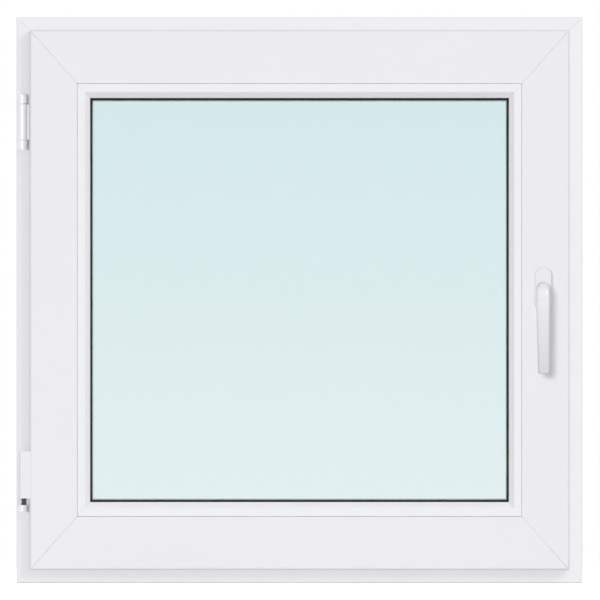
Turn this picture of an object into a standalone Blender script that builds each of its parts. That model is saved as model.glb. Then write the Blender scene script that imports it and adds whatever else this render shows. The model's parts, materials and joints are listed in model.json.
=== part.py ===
"""Inward-opening casement window with its frame, sash, glazing, hinges, handle and lock.

Metres, +Z up. X runs across the window from the hinge side to the lock side, and -Y points into
the room. The origin is the middle of the sill's underside, half way through the frame's depth.
A bar's section is drawn as points (w, y): w is the distance in from the frame's outer edge on a
jamb or a stile, and y is the depth. A head, sill or rail uses the same section.
"""

from math import atan, cos, pi, radians, sin, sqrt, tan

import bmesh
import bpy
from mathutils import Matrix, Vector

GAP = 0.0003  # between pieces that touch
SMALL_EDGE = 0.0006  # softened edge of small pieces
CUT_BEYOND = 0.001  # how far a cutter stands out of the piece it cuts

# Outer frame
FRAME_WIDTH = 0.900
FRAME_HEIGHT = 0.900
FRAME_DEPTH = 0.070
FRAME_LEG = 0.030  # width of the leg that faces the room
FRAME_STOP = 0.022  # how far the outside stop stands in from the leg
STOP_SLOPE = 0.0025  # fall of the stop's edge towards the outside
WALL = 0.003  # wall of every plastic bar

# Sash
SASH_REVEAL = 0.021  # frame left showing around the sash
STILE_FACE = 0.0754
RAIL_FACE = 0.0845
SASH_DEPTH = 0.070
FLANGE_THICKNESS = 0.017  # the part of the sash that laps over the frame
ROOM_SEAL_GAP = 0.003
OUTSIDE_SEAL_GAP = 0.005
FRAME_SEAL_WIDTH = 0.006
FRAME_SEAL_INSET = 0.002  # from the stop's edge
SASH_SEAL_WIDTH = 0.005
SASH_SEAL_INSET = 0.0025  # from the sash's edge
SEAL_LIP = 0.001
HARDWARE_GAP = 0.012  # between the frame's leg and the sash's edge
GROOVE_WIDTH = 0.016
GROOVE_DEPTH = 0.006
GROOVE_MIDDLE = -0.012  # depth of the hardware groove's middle
LIP_THICKNESS = 0.012  # the outside lip that the glass rests against

# Glazing
PANE = 0.004
CAVITY = 0.016
GLAZING_SEAL = 0.003
PACKER_THICKNESS = 0.0066
PACKER_LENGTH = 0.100
BEAD_WIDTH = 0.0201
BEAD_SLOPE = 0.0085
BEAD_WALL = 0.002
BEAD_STEP = 0.0005  # bead face set back from the sash face
SEAL_SHOWING = 0.0026  # gasket seen beyond the bead
SEAL_HIDDEN = 0.006  # gasket behind the bead
SPACER_WIDTH = 0.013
SPACER_SHOWING = 0.005  # spacer seen beyond the bead

# Steel reinforcement
STEEL = 0.002
STEEL_CLEARANCE = 0.0005
STEEL_END = 0.005

# Hinges
HINGE_SASH_GAP = 0.0021  # between the upper barrel and the sash's edge
PIN_RADIUS = 0.003
BARREL_RADIUS = 0.0072
STUD_RADIUS = 0.0035
STUD_REACH = 0.017  # how far a stud goes into the sash flange
STUD_INSET = 0.014  # from the barrel's ends
BEARING_LIP = 0.0003  # block wider than the barrel on each side
BEARING_PLATE = 0.0022
PLATE_INSET = 0.0005  # plate narrower than its block on each side
UPPER_HINGE_DROP = 0.122  # cap top below the frame's top
CAP_HEIGHT = 0.016
CAP_EDGE = 0.002
BARREL_LENGTH = 0.058
UPPER_BLOCK = 0.015
LOWER_HINGE_RISE = 0.113  # lower block above the frame's bottom
LOWER_BLOCK = 0.011
LOWER_BORE = 0.0066  # depth of the pin's hole in the lower block
COLLAR_HEIGHT = 0.0105
COLLAR_RADIUS = 0.0045
COLLAR_EDGE = 0.0006
COVER_LENGTH = 0.075
COVER_WALL = 0.0015
COVER_BEHIND = 0.0065  # cover's back, behind the hinge line
COVER_FRONT = 0.0085  # cover's face, in front of the hinge line
COVER_OUTSIDE = 0.0068  # cover's outer side, beyond the hinge line
LOWER_BARREL_RADIUS = 0.0048

# Handle
HANDLE_HEIGHT = 0.4675
BACKSET = 0.0206  # from the sash's edge to the spindle
SPINDLE = 0.007
ROSETTE_WIDTH = 0.0273
ROSETTE_HEIGHT = 0.0704
ROSETTE_DEPTH = 0.0115
ROSETTE_WALL = 0.0015
ROSETTE_EDGE = 0.003
BASE_THICKNESS = 0.0045
BASE_INSET = 0.0025
HANDLE_SCREW_OFFSET = 0.0215
SCREW_RADIUS = 0.0023
SCREW_HEAD_RADIUS = 0.0042
SCREW_HEAD = 0.0026
NECK_RADIUS = 0.0105
LEVER_PROJECTION = 0.045
LEVER_LENGTH = 0.135
LEVER_TOP_HALF = 0.0110
LEVER_END_HALF = 0.00895
LEVER_TOP_SHIFT = -0.0010
LEVER_END_SHIFT = 0.00025
LEVER_HALF_THICKNESS = 0.0065
LEVER_END_HALF_THICKNESS = 0.0055
LEVER_BEND = 0.014
LEVER_EDGE = 0.002  # softened end of the grip
NECK_SQUARENESS = 2.0  # 2 is round
GRIP_SQUARENESS = 3.2
SPINDLE_SHORT = 0.004  # between the spindle's end and the back of the grip

# Lock
GEAR_TEETH = 12
GEAR_MODULE = 0.0015
GEAR_PRESSURE = radians(20)
GEAR_ADDENDUM = 0.0011
RACK_ADDENDUM = 0.0010
GEAR_DEDENDUM = 0.0019
GEAR_BACKLASH = 0.0003
GEAR_THICKNESS = 0.010
HANDLE_QUARTER = pi / 2
BAR_THICKNESS = 0.0024
FACEPLATE = 0.0025
FACEPLATE_CORNER = 0.002
CASE_WALL = 0.0015
RACK_SPINE = 0.0035  # metal behind a rack's teeth
RACK_FOOT = 0.0015  # depth of a rack's tooth gaps below its pitch line
RACK_END = 0.001  # metal beyond a rack's last tooth
BRIDGE = 0.006  # the step that joins the upper bar to its rack
BRIDGE_CLEARANCE = 0.003  # between that step and the upper handle screw
CASE_CLEARANCE = 0.0015
CASE_DOWN = 0.043
CASE_UP = 0.053
CAM_RADIUS = 0.004
CAM_HEAD_RADIUS = 0.0055
CAM_HEAD = 0.0025
CAM_REACH = 0.007  # beyond the sash's edge
CAM_FROM_END = 0.130
BAR_END = 0.030  # from the rail's hardware line to the end of a lock bar
SLOT_CLEARANCE = 0.0005
KEEP_LENGTH = 0.060
KEEP_WIDTH = 0.024
KEEP_PLATE = 0.0015
KEEP_LIP = 0.003
KEEP_LIP_WIDTH = 0.006

# Small fittings
DRAIN_LENGTH = 0.044
DRAIN_HEIGHT = 0.012
DRAIN_FLANGE = 0.0012
DRAIN_SLOT_LENGTH = 0.036
DRAIN_SLOT_HEIGHT = 0.006
DRAIN_RIB = 0.0016  # between a cap's openings, and around them
DRAIN_OPENINGS = 3
DRAIN_SPACING = 0.500
DRAIN_RISE = 0.016
RUN_UP_LENGTH = 0.050
RUN_UP_WIDTH = 0.014
RUN_UP_RAMP = 0.004
SHOE_THICKNESS = 0.003
SHOE_OVERHANG = 0.003
RUN_UP_CLEARANCE = 0.0005

# Places that follow from the sizes above
ROOM_FACE = -FRAME_DEPTH / 2
OUTSIDE_FACE = FRAME_DEPTH / 2
FLANGE_BACK = ROOM_FACE - ROOM_SEAL_GAP
SASH_FRONT = FLANGE_BACK - FLANGE_THICKNESS
SASH_BACK = SASH_FRONT + SASH_DEPTH
STOP_FACE = SASH_BACK + OUTSIDE_SEAL_GAP
SASH_EDGE = FRAME_LEG + HARDWARE_GAP
GROOVE_FLOOR = SASH_EDGE + GROOVE_DEPTH
BEAD_LINE = SASH_REVEAL + STILE_FACE
SIGHT_LINE = BEAD_LINE + BEAD_WIDTH
RAIL_STRETCH = RAIL_FACE / STILE_FACE
LIP_FACE = SASH_BACK - LIP_THICKNESS
GLASS_BACK = LIP_FACE - GLAZING_SEAL
GLASS_FRONT = GLASS_BACK - 2 * PANE - CAVITY
GLASS_EDGE = BEAD_LINE + PACKER_THICKNESS
BEAD_BACK = GLASS_FRONT - GLAZING_SEAL
HINGE_X = -FRAME_WIDTH / 2 + SASH_REVEAL - HINGE_SASH_GAP - BARREL_RADIUS
HINGE_Y = ROOM_FACE - BEARING_PLATE - BARREL_RADIUS - 2 * GAP
HANDLE_X = FRAME_WIDTH / 2 - SASH_EDGE - BACKSET
PITCH_RADIUS = GEAR_TEETH * GEAR_MODULE / 2
BAR_TRAVEL = PITCH_RADIUS * HANDLE_QUARTER
CASE_REACH = BACKSET + PITCH_RADIUS + RACK_FOOT + RACK_SPINE + CASE_CLEARANCE + CASE_WALL

SASH_AXIS = Vector((HINGE_X, HINGE_Y, 0))
HANDLE_AXIS = Vector((HANDLE_X, SASH_FRONT, HANDLE_HEIGHT))
CORNERS = ((-1, -1), (1, -1), (1, 1), (-1, 1))


# ---------------------------------------------------------------- outlines and meshes


def rounded(corners, steps=3):
    """A closed outline through corners (a, b, radius), each turned into an arc of that radius."""
    outline = []
    for i, (a, b, radius) in enumerate(corners):
        here = Vector((a, b))
        if radius == 0:
            outline.append((a, b))
            continue
        before = (Vector(corners[i - 1][:2]) - here).normalized()
        after = (Vector(corners[(i + 1) % len(corners)][:2]) - here).normalized()
        half = before.angle(after) / 2
        centre = here + (before + after).normalized() * (radius / sin(half))
        start = here + before * (radius / tan(half)) - centre
        end = here + after * (radius / tan(half)) - centre
        sweep = start.angle_signed(end)
        for k in range(steps + 1):
            point = centre + Matrix.Rotation(-sweep * k / steps, 2) @ start
            outline.append((point.x, point.y))
    return outline


def rectangle(a0, b0, a1, b1, radius=0.0, steps=2):
    return rounded([(a0, b0, radius), (a1, b0, radius), (a1, b1, radius), (a0, b1, radius)], steps)


def circle(a, b, radius, count=24):
    return [
        (a + radius * cos(2 * pi * i / count), b + radius * sin(2 * pi * i / count))
        for i in range(count)
    ]


def stadium(radius, straight, count=32):
    """An upright round-ended slot's outline, with `straight` from each end's centre to the middle."""
    points = []
    for i in range(count):
        angle = 2 * pi * (i + 0.5) / count
        points.append((radius * cos(angle), radius * sin(angle) + (straight if angle < pi else -straight)))
    return points


def finished(bm):
    bmesh.ops.recalc_face_normals(bm, faces=bm.faces)
    mesh = bpy.data.meshes.new("mesh")
    bm.to_mesh(mesh)
    bm.free()
    return mesh


def joined_rings(rings, cyclic=False):
    """A skin through matching rings of points, with flat ends unless it closes on itself."""
    bm = bmesh.new()
    made = [[bm.verts.new(point) for point in ring] for ring in rings]
    count = len(made[0])
    pairs = list(zip(made, made[1:]))
    if cyclic:
        pairs.append((made[-1], made[0]))
    for first, second in pairs:
        for i in range(count):
            j = (i + 1) % count
            bm.faces.new((first[i], first[j], second[j], second[i]))
    if not cyclic:
        bm.faces.new(made[0])
        bm.faces.new(made[-1])
    return finished(bm)


def extruded(place, outline, holes=()):
    """A bar between two ends: place(a, b, end) gives a section point's position at end 0 or 1."""
    bm = bmesh.new()
    loops = [outline, *holes]
    ends = [[[bm.verts.new(place(a, b, end)) for a, b in loop] for loop in loops] for end in (0, 1)]
    for first, second in zip(*ends):
        for i in range(len(first)):
            j = (i + 1) % len(first)
            bm.faces.new((first[i], first[j], second[j], second[i]))
    for rings in ends:
        edges = [
            bm.edges.get((ring[i], ring[(i + 1) % len(ring)])) for ring in rings for i in range(len(ring))
        ]
        bmesh.ops.triangle_fill(bm, edges=edges, use_beauty=True)
    return finished(bm)


def prism(axis, start, end, outline, holes=()):
    """A section extruded square along one axis: drawn in (y, z), (x, z) or (x, y)."""

    def place(a, b, which):
        along = end if which else start
        return {"x": (along, a, b), "y": (a, along, b), "z": (a, b, along)}[axis]

    return extruded(place, outline, holes)


def box(low, high, edge=0.0):
    """A block, with its edges bevelled by `edge`."""
    bm = bmesh.new()
    bmesh.ops.create_cube(bm, size=1)
    size = Vector(high) - Vector(low)
    middle = (Vector(high) + Vector(low)) / 2
    bm.transform(Matrix.Translation(middle) @ Matrix.Diagonal(size).to_4x4())
    if edge:
        bmesh.ops.bevel(bm, geom=bm.edges, offset=edge, segments=2, profile=0.5, affect="EDGES")
    return finished(bm)


def turned(profile, centre, axis, count=24):
    """A round piece from (radius, along) points that start and end on its axis."""
    bm = bmesh.new()
    rings = []
    for radius, along in profile:
        if radius == 0:
            rings.append([bm.verts.new((0, 0, along))])
        else:
            rings.append([bm.verts.new((a, b, along)) for a, b in circle(0, 0, radius, count)])
    for first, second in zip(rings, rings[1:]):
        for i in range(count):
            j = (i + 1) % count
            near = [first[i % len(first)], first[j % len(first)]]
            far = [second[j % len(second)], second[i % len(second)]]
            bm.faces.new(list(dict.fromkeys(near + far)))
    turn = {"x": Matrix.Rotation(pi / 2, 4, "Y"), "y": Matrix.Rotation(-pi / 2, 4, "X"), "z": Matrix()}[axis]
    bm.transform(Matrix.Translation(centre) @ turn)
    return finished(bm)


def merged(meshes):
    """Several closed meshes as one, for a cutter."""
    bm = bmesh.new()
    for mesh in meshes:
        bm.from_mesh(mesh)
    result = bpy.data.meshes.new("cutter")
    bm.to_mesh(result)
    bm.free()
    return result


# ---------------------------------------------------------------- objects


class Body:
    """The pieces that move together, under an empty on their joint's axis."""

    def __init__(self, name, axis=None, parent=None):
        self.axis = axis or Vector((0, 0, 0))
        self.empty = bpy.data.objects.new(name + "_axis", None)
        self.empty.empty_display_size = 0.05
        bpy.context.collection.objects.link(self.empty)
        if parent:
            self.empty.parent = parent.empty
            self.empty.location = self.axis - parent.axis
        else:
            self.empty.location = self.axis

    def add(self, name, mesh, material):
        """Adds a piece from a mesh drawn in the window's frame."""
        mesh.transform(Matrix.Translation(-self.axis))
        mesh.name = name
        mesh.materials.append(material)
        mesh.shade_smooth()
        mesh.set_sharp_from_angle(angle=radians(32))
        piece = bpy.data.objects.new(name, mesh)
        piece.parent = self.empty
        bpy.context.collection.objects.link(piece)
        return piece


def shape_with(piece, name, meshes, operation):
    helper = bpy.data.objects.new(name, merged(meshes))
    helper.hide_render = True
    helper.display_type = "WIRE"
    bpy.context.collection.objects.link(helper)
    modifier = piece.modifiers.new(name, "BOOLEAN")
    modifier.operation = operation
    modifier.solver = "EXACT"
    modifier.object = helper


def cut(piece, name, meshes):
    shape_with(piece, name, meshes, "DIFFERENCE")


def join(piece, name, meshes):
    shape_with(piece, name, meshes, "UNION")


def make_material(name, colour, roughness, metallic=0.0, transmission=0.0):
    material = bpy.data.materials.new(name)
    material.use_nodes = True
    shader = material.node_tree.nodes["Principled BSDF"]
    shader.inputs["Base Color"].default_value = (*colour, 1)
    shader.inputs["Roughness"].default_value = roughness
    shader.inputs["Metallic"].default_value = metallic
    shader.inputs["Transmission Weight"].default_value = transmission
    return material


def make_materials():
    return {
        "frame": make_material("frame_white", (0.83, 0.83, 0.85), 0.35),
        "sash": make_material("sash_white", (0.84, 0.84, 0.87), 0.35),
        "bead": make_material("bead_white", (0.85, 0.85, 0.87), 0.35),
        "hinge": make_material("hinge_white", (0.82, 0.82, 0.84), 0.3),
        "handle": make_material("handle_white", (0.80, 0.80, 0.82), 0.28),
        "steel": make_material("zinc_steel", (0.55, 0.57, 0.58), 0.4, metallic=1.0),
        "zinc": make_material("cast_zinc", (0.45, 0.46, 0.47), 0.45, metallic=1.0),
        "rubber": make_material("black_rubber", (0.015, 0.015, 0.016), 0.7),
        "glass": make_material("clear_glass", (0.86, 0.95, 0.95), 0.02, transmission=1.0),
        "spacer": make_material("spacer_aluminium", (0.70, 0.72, 0.73), 0.3, metallic=1.0),
        "packer": make_material("packer_plastic", (0.05, 0.25, 0.45), 0.5),
    }


# ---------------------------------------------------------------- bars and rings


def along_rail(w):
    """Where a sash section's w falls on a rail, whose face is wider than a stile's."""
    return SASH_REVEAL + (w - SASH_REVEAL) * RAIL_STRETCH


def same(w):
    return w


def side_place(side, on_rail, inset, end_w=None):
    """How a bar's section sits on one side of the window.

    Each point's bar ends on the mitre, short of it by `inset`. With end_w, every point ends where
    a point at end_w would, so that the bar is cut square.
    """
    half_width = FRAME_WIDTH / 2

    def place(w, y, end):
        at = w if end_w is None else end_w
        if side in ("hinge", "lock"):
            x = (w - half_width) if side == "hinge" else (half_width - w)
            reach = on_rail(at) + inset
            return (x, y, FRAME_HEIGHT - reach if end else reach)
        z = on_rail(w) if side == "bottom" else FRAME_HEIGHT - on_rail(w)
        reach = half_width - at - inset
        return (reach if end else -reach, y, z)

    return place


def mitred_bar(side, on_rail, outline, holes):
    return extruded(side_place(side, on_rail, GAP / sqrt(2)), outline, holes)


def square_bar(side, on_rail, w0, y0, w1, y1):
    """A box tube of reinforcing steel between (w0, y0) and (w1, y1), cut square at its ends."""
    outline = rectangle(w0, y0, w1, y1)
    hole = rectangle(w0 + STEEL, y0 + STEEL, w1 - STEEL, y1 - STEEL)
    return extruded(side_place(side, on_rail, STEEL_END, end_w=w1), outline, [hole])


def ring(outline, on_rail):
    """A section carried round all four sides."""
    half_width = FRAME_WIDTH / 2
    middle = FRAME_HEIGHT / 2
    rings = [
        [(sx * (half_width - w), y, middle + sz * (middle - on_rail(w))) for w, y in outline]
        for sx, sz in CORNERS
    ]
    return joined_rings(rings, cyclic=True)


# ---------------------------------------------------------------- the outer frame


def frame_section():
    inner = FRAME_LEG + FRAME_STOP
    outline = rounded(
        [
            (0, ROOM_FACE, 0.001),
            (FRAME_LEG, ROOM_FACE, 0.002),
            (FRAME_LEG, STOP_FACE, 0.001),
            (inner, STOP_FACE, 0.0015),
            (inner - STOP_SLOPE, OUTSIDE_FACE, 0.002),
            (0, OUTSIDE_FACE, 0.001),
        ]
    )
    leg_end = FRAME_LEG - WALL
    middle = -WALL / 2
    steel_room = rectangle(WALL, ROOM_FACE + WALL, leg_end, middle)
    back_room = rectangle(WALL, middle + WALL, leg_end, OUTSIDE_FACE - WALL)
    stop_room = rectangle(FRAME_LEG, STOP_FACE + WALL, inner - STOP_SLOPE - WALL, OUTSIDE_FACE - WALL)
    return outline, [steel_room, back_room, stop_room]


def build_frame(frame, materials):
    outline, holes = frame_section()
    names = {
        "top": "frame_head",
        "bottom": "frame_sill",
        "hinge": "frame_jamb_hinge",
        "lock": "frame_jamb_lock",
    }
    inset = WALL + STEEL_CLEARANCE
    bars = {}
    for side, name in names.items():
        bars[side] = frame.add(name, mitred_bar(side, same, outline, holes), materials["frame"])
        steel = square_bar(
            side, same, inset, ROOM_FACE + inset, FRAME_LEG - inset, -WALL / 2 - STEEL_CLEARANCE
        )
        frame.add(name + "_steel", steel, materials["steel"])
    seal_end = FRAME_LEG + FRAME_STOP - FRAME_SEAL_INSET
    tip = SASH_BACK + GAP
    seal = [
        (seal_end - FRAME_SEAL_WIDTH, STOP_FACE - GAP),
        (seal_end - FRAME_SEAL_WIDTH + SEAL_LIP, tip + SEAL_LIP),
        (seal_end - FRAME_SEAL_WIDTH / 2, tip),
        (seal_end - SEAL_LIP, tip + SEAL_LIP),
        (seal_end, STOP_FACE - GAP),
    ]
    frame.add("frame_gasket", ring(seal, same), materials["rubber"])
    build_drain_caps(frame, bars["bottom"], materials)


def build_drain_caps(frame, sill, materials):
    """Caps let into the sill's outside face, just below its surface, each over a slot in the wall."""
    middle_z = DRAIN_RISE + DRAIN_HEIGHT / 2
    recess_floor = OUTSIDE_FACE - DRAIN_FLANGE - 2 * GAP
    face = OUTSIDE_FACE - GAP
    opening = (DRAIN_SLOT_LENGTH - (DRAIN_OPENINGS + 1) * DRAIN_RIB) / DRAIN_OPENINGS

    def block(x, length, height, y0, y1, edge=0.0):
        low = (x - length / 2, y0, middle_z - height / 2)
        return box(low, (x + length / 2, y1, middle_z + height / 2), edge)

    for end, x in (("hinge_end", -DRAIN_SPACING / 2), ("lock_end", DRAIN_SPACING / 2)):
        around = 2 * GAP
        recess = block(x, DRAIN_LENGTH + around, DRAIN_HEIGHT + around, recess_floor, face + CUT_BEYOND)
        inside = OUTSIDE_FACE - WALL - CUT_BEYOND
        slot = block(x, DRAIN_SLOT_LENGTH + around, DRAIN_SLOT_HEIGHT + around, inside, face)
        cut(sill, "sill_recess_" + end, [recess])
        cut(sill, "sill_slot_" + end, [slot])
        name = "drain_cap_" + end
        flange = block(x, DRAIN_LENGTH, DRAIN_HEIGHT, face - DRAIN_FLANGE, face, DRAIN_FLANGE / 3)
        cap = frame.add(name, flange, materials["frame"])
        plug_end = face - DRAIN_FLANGE / 2
        plug = block(x, DRAIN_SLOT_LENGTH, DRAIN_SLOT_HEIGHT, OUTSIDE_FACE - WALL, plug_end)
        join(cap, name + "_plug", [plug])
        step = opening + DRAIN_RIB
        shift = (DRAIN_OPENINGS - 1) / 2
        height = DRAIN_SLOT_HEIGHT - 2 * DRAIN_RIB
        openings = [
            block(x + (i - shift) * step, opening, height, inside, face + CUT_BEYOND)
            for i in range(DRAIN_OPENINGS)
        ]
        cut(cap, name + "_openings", openings)


# ---------------------------------------------------------------- the sash


def sash_section():
    groove_room = GROOVE_MIDDLE - GROOVE_WIDTH / 2
    groove_out = GROOVE_MIDDLE + GROOVE_WIDTH / 2
    outline = rounded(
        [
            (SASH_REVEAL, SASH_FRONT, 0.003),
            (BEAD_LINE, SASH_FRONT, 0.0006),
            (BEAD_LINE, LIP_FACE, 0.0005),
            (SIGHT_LINE, LIP_FACE, 0.001),
            (SIGHT_LINE - STOP_SLOPE, SASH_BACK, 0.002),
            (SASH_EDGE, SASH_BACK, 0.0015),
            (SASH_EDGE, groove_out, 0),
            (GROOVE_FLOOR, groove_out, 0),
            (GROOVE_FLOOR, groove_room, 0),
            (SASH_EDGE, groove_room, 0),
            (SASH_EDGE, FLANGE_BACK, 0.0008),
            (SASH_REVEAL, FLANGE_BACK, 0.001),
        ]
    )
    inner = BEAD_LINE - WALL
    lip_inner = SIGHT_LINE - STOP_SLOPE - WALL
    front_room = rectangle(SASH_REVEAL + WALL, SASH_FRONT + WALL, inner, FLANGE_BACK - WALL)
    steel_room = rectangle(GROOVE_FLOOR + WALL, FLANGE_BACK, inner, LIP_FACE)
    back_room = rectangle(SASH_EDGE + WALL, LIP_FACE + WALL, lip_inner, SASH_BACK - WALL)
    return outline, [front_room, steel_room, back_room]


def case_box(extra):
    """The space that the lock's gearbox case takes, grown by `extra`."""
    reach = FRAME_WIDTH / 2 - SASH_EDGE - CASE_REACH - extra
    mouth = FRAME_WIDTH / 2 - GROOVE_FLOOR - GAP + extra
    half = GROOVE_WIDTH / 2 - GAP + extra
    low = (reach, GROOVE_MIDDLE - half, HANDLE_HEIGHT - CASE_DOWN - extra)
    high = (mouth, GROOVE_MIDDLE + half, HANDLE_HEIGHT + CASE_UP + extra)
    return low, high


def handle_holes(radius, screw_radius, y0, y1):
    """Cutters for the spindle and the two handle screws."""
    holes = [prism("y", y0, y1, circle(HANDLE_X, HANDLE_HEIGHT, radius))]
    for side in (-1, 1):
        z = HANDLE_HEIGHT + side * HANDLE_SCREW_OFFSET
        holes.append(prism("y", y0, y1, circle(HANDLE_X, z, screw_radius, 16)))
    return holes


def build_sash(sash, materials):
    outline, holes = sash_section()
    names = {
        "top": "sash_top_rail",
        "bottom": "sash_bottom_rail",
        "hinge": "sash_stile_hinge",
        "lock": "sash_stile_lock",
    }
    inset = WALL + STEEL_CLEARANCE
    bars = {}
    steels = {}
    for side, name in names.items():
        bars[side] = sash.add(name, mitred_bar(side, along_rail, outline, holes), materials["sash"])
        steel = square_bar(
            side,
            along_rail,
            GROOVE_FLOOR + inset,
            FLANGE_BACK + STEEL_CLEARANCE,
            BEAD_LINE - inset,
            LIP_FACE - STEEL_CLEARANCE,
        )
        steels[side] = sash.add(name + "_steel", steel, materials["steel"])

    low, high = case_box(GAP)
    pocket = box(low, (high[0] + GROOVE_DEPTH, high[1], high[2]))
    through = handle_holes(NECK_RADIUS, SCREW_RADIUS + GAP, SASH_FRONT - WALL, GROOVE_MIDDLE)
    cut(bars["lock"], "lock_stile_pocket", [pocket])
    cut(bars["lock"], "lock_stile_holes", through)
    low, high = case_box(STEEL_END)
    steel_pocket = box(
        (low[0], FLANGE_BACK - WALL, low[2]), (high[0] + GROOVE_DEPTH, LIP_FACE + WALL, high[2])
    )
    cut(steels["lock"], "lock_steel_pocket", [steel_pocket])

    studs = [
        prism(
            "x",
            HINGE_X + BARREL_RADIUS,
            HINGE_X + BARREL_RADIUS + STUD_REACH + STUD_RADIUS,
            circle(HINGE_Y, z, STUD_RADIUS + 2 * GAP, 16),
        )
        for z in stud_heights()
    ]
    cut(bars["hinge"], "hinge_stile_holes", studs)

    seal_start = SASH_REVEAL + SASH_SEAL_INSET
    tip = ROOM_FACE - GAP
    seal = [
        (seal_start, FLANGE_BACK + GAP),
        (seal_start + SEAL_LIP, tip - SEAL_LIP),
        (seal_start + SASH_SEAL_WIDTH / 2, tip),
        (seal_start + SASH_SEAL_WIDTH - SEAL_LIP, tip - SEAL_LIP),
        (seal_start + SASH_SEAL_WIDTH, FLANGE_BACK + GAP),
    ]
    sash.add("sash_gasket", ring(seal, along_rail), materials["rubber"])


def build_glazing(sash, materials):
    bead_start = BEAD_LINE + GAP
    face = SASH_FRONT + BEAD_STEP
    shoulder = SIGHT_LINE - BEAD_SLOPE
    foot = face + BEAD_SLOPE
    outline = rounded(
        [
            (bead_start, face, 0.0006),
            (shoulder, face, 0.002),
            (SIGHT_LINE, foot, 0.0012),
            (SIGHT_LINE, BEAD_BACK, 0.0004),
            (bead_start, BEAD_BACK, 0.0004),
        ]
    )
    inside = [
        (bead_start + BEAD_WALL, face + BEAD_WALL),
        (shoulder - BEAD_WALL / 2, face + BEAD_WALL),
        (SIGHT_LINE - BEAD_WALL, foot + BEAD_WALL / 2),
        (SIGHT_LINE - BEAD_WALL, BEAD_BACK - BEAD_WALL),
        (bead_start + BEAD_WALL, BEAD_BACK - BEAD_WALL),
    ]
    for side in ("top", "bottom", "hinge", "lock"):
        bead = mitred_bar(side, along_rail, outline, [inside])
        sash.add("glazing_bead_" + side, bead, materials["bead"])

    half_width = FRAME_WIDTH / 2 - GLASS_EDGE
    low_z = along_rail(GLASS_EDGE)
    for name, front in (("glass_pane_room", GLASS_FRONT), ("glass_pane_outside", GLASS_BACK - PANE)):
        low = (-half_width, front, low_z)
        high = (half_width, front + PANE, FRAME_HEIGHT - low_z)
        sash.add(name, box(low, high, 0.0005), materials["glass"])

    spacer_end = SIGHT_LINE + SPACER_SHOWING
    spacer = rectangle(
        spacer_end - SPACER_WIDTH, GLASS_FRONT + PANE + GAP, spacer_end, GLASS_BACK - PANE - GAP, 0.0008, 1
    )
    sash.add("spacer_bar", ring(spacer, along_rail), materials["spacer"])

    seal_end = SIGHT_LINE + SEAL_SHOWING
    seal_start = SIGHT_LINE - SEAL_HIDDEN
    room_seal = rectangle(seal_start, BEAD_BACK + GAP, seal_end, GLASS_FRONT - GAP, SMALL_EDGE, 1)
    sash.add("glazing_gasket_room", ring(room_seal, along_rail), materials["rubber"])
    out_seal = rectangle(seal_start, GLASS_BACK + GAP, seal_end, LIP_FACE - GAP, SMALL_EDGE, 1)
    sash.add("glazing_gasket_outside", ring(out_seal, along_rail), materials["rubber"])
    build_packers(sash, materials, half_width, low_z)


def build_packers(sash, materials, half_width, low_z):
    """Blocks that carry the glass: two under it, and one at each side to square the sash."""
    floor = along_rail(BEAD_LINE) + GAP
    top = low_z - GAP
    for name, side in (("packer_bottom_hinge_end", -1), ("packer_bottom_lock_end", 1)):
        middle = side * (half_width - PACKER_LENGTH)
        low = (middle - PACKER_LENGTH / 2, GLASS_FRONT, floor)
        high = (middle + PACKER_LENGTH / 2, GLASS_BACK, top)
        sash.add(name, box(low, high, SMALL_EDGE), materials["packer"])
    wall = FRAME_WIDTH / 2 - BEAD_LINE - GAP
    edge = half_width + GAP
    low_start = low_z + PACKER_LENGTH / 2
    hinge_low = (-wall, GLASS_FRONT, low_start)
    hinge_high = (-edge, GLASS_BACK, low_start + PACKER_LENGTH)
    sash.add("packer_hinge_side", box(hinge_low, hinge_high, SMALL_EDGE), materials["packer"])
    high_start = FRAME_HEIGHT - low_start
    lock_low = (edge, GLASS_FRONT, high_start - PACKER_LENGTH)
    lock_high = (wall, GLASS_BACK, high_start)
    sash.add("packer_lock_side", box(lock_low, lock_high, SMALL_EDGE), materials["packer"])


# ---------------------------------------------------------------- hinges


def upper_barrel():
    """Bottom and top of the upper hinge's barrel."""
    top = FRAME_HEIGHT - UPPER_HINGE_DROP - CAP_HEIGHT
    return top - BARREL_LENGTH, top


def lower_barrel():
    """Bottom and top of the cover over the lower hinge's barrel."""
    bottom = LOWER_HINGE_RISE + LOWER_BLOCK + COLLAR_HEIGHT
    return bottom, bottom + COVER_LENGTH


def stud_heights():
    return [
        end + side * STUD_INSET
        for ends in (upper_barrel(), lower_barrel())
        for end, side in zip(ends, (1, -1))
    ]


def barrel(bottom, top, radius):
    bore = circle(HINGE_X, HINGE_Y, PIN_RADIUS + GAP)
    return prism("z", bottom, top, circle(HINGE_X, HINGE_Y, radius), [bore])


def stud(z):
    """A bolt from inside the barrel's wall into the sash flange."""
    start = HINGE_X + PIN_RADIUS + 3 * GAP
    end = HINGE_X + BARREL_RADIUS + STUD_REACH
    return prism("x", start, end, circle(HINGE_Y, z, STUD_RADIUS, 16))


def bearing_outline():
    """A block on the frame's face, round towards the room."""
    half = BARREL_RADIUS + BEARING_LIP
    back = ROOM_FACE - GAP
    front = [
        (HINGE_X - half * cos(pi * i / 12), HINGE_Y - half * sin(pi * i / 12))
        for i in range(13)
    ]
    return [(HINGE_X - half, back), *front, (HINGE_X + half, back)]


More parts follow.
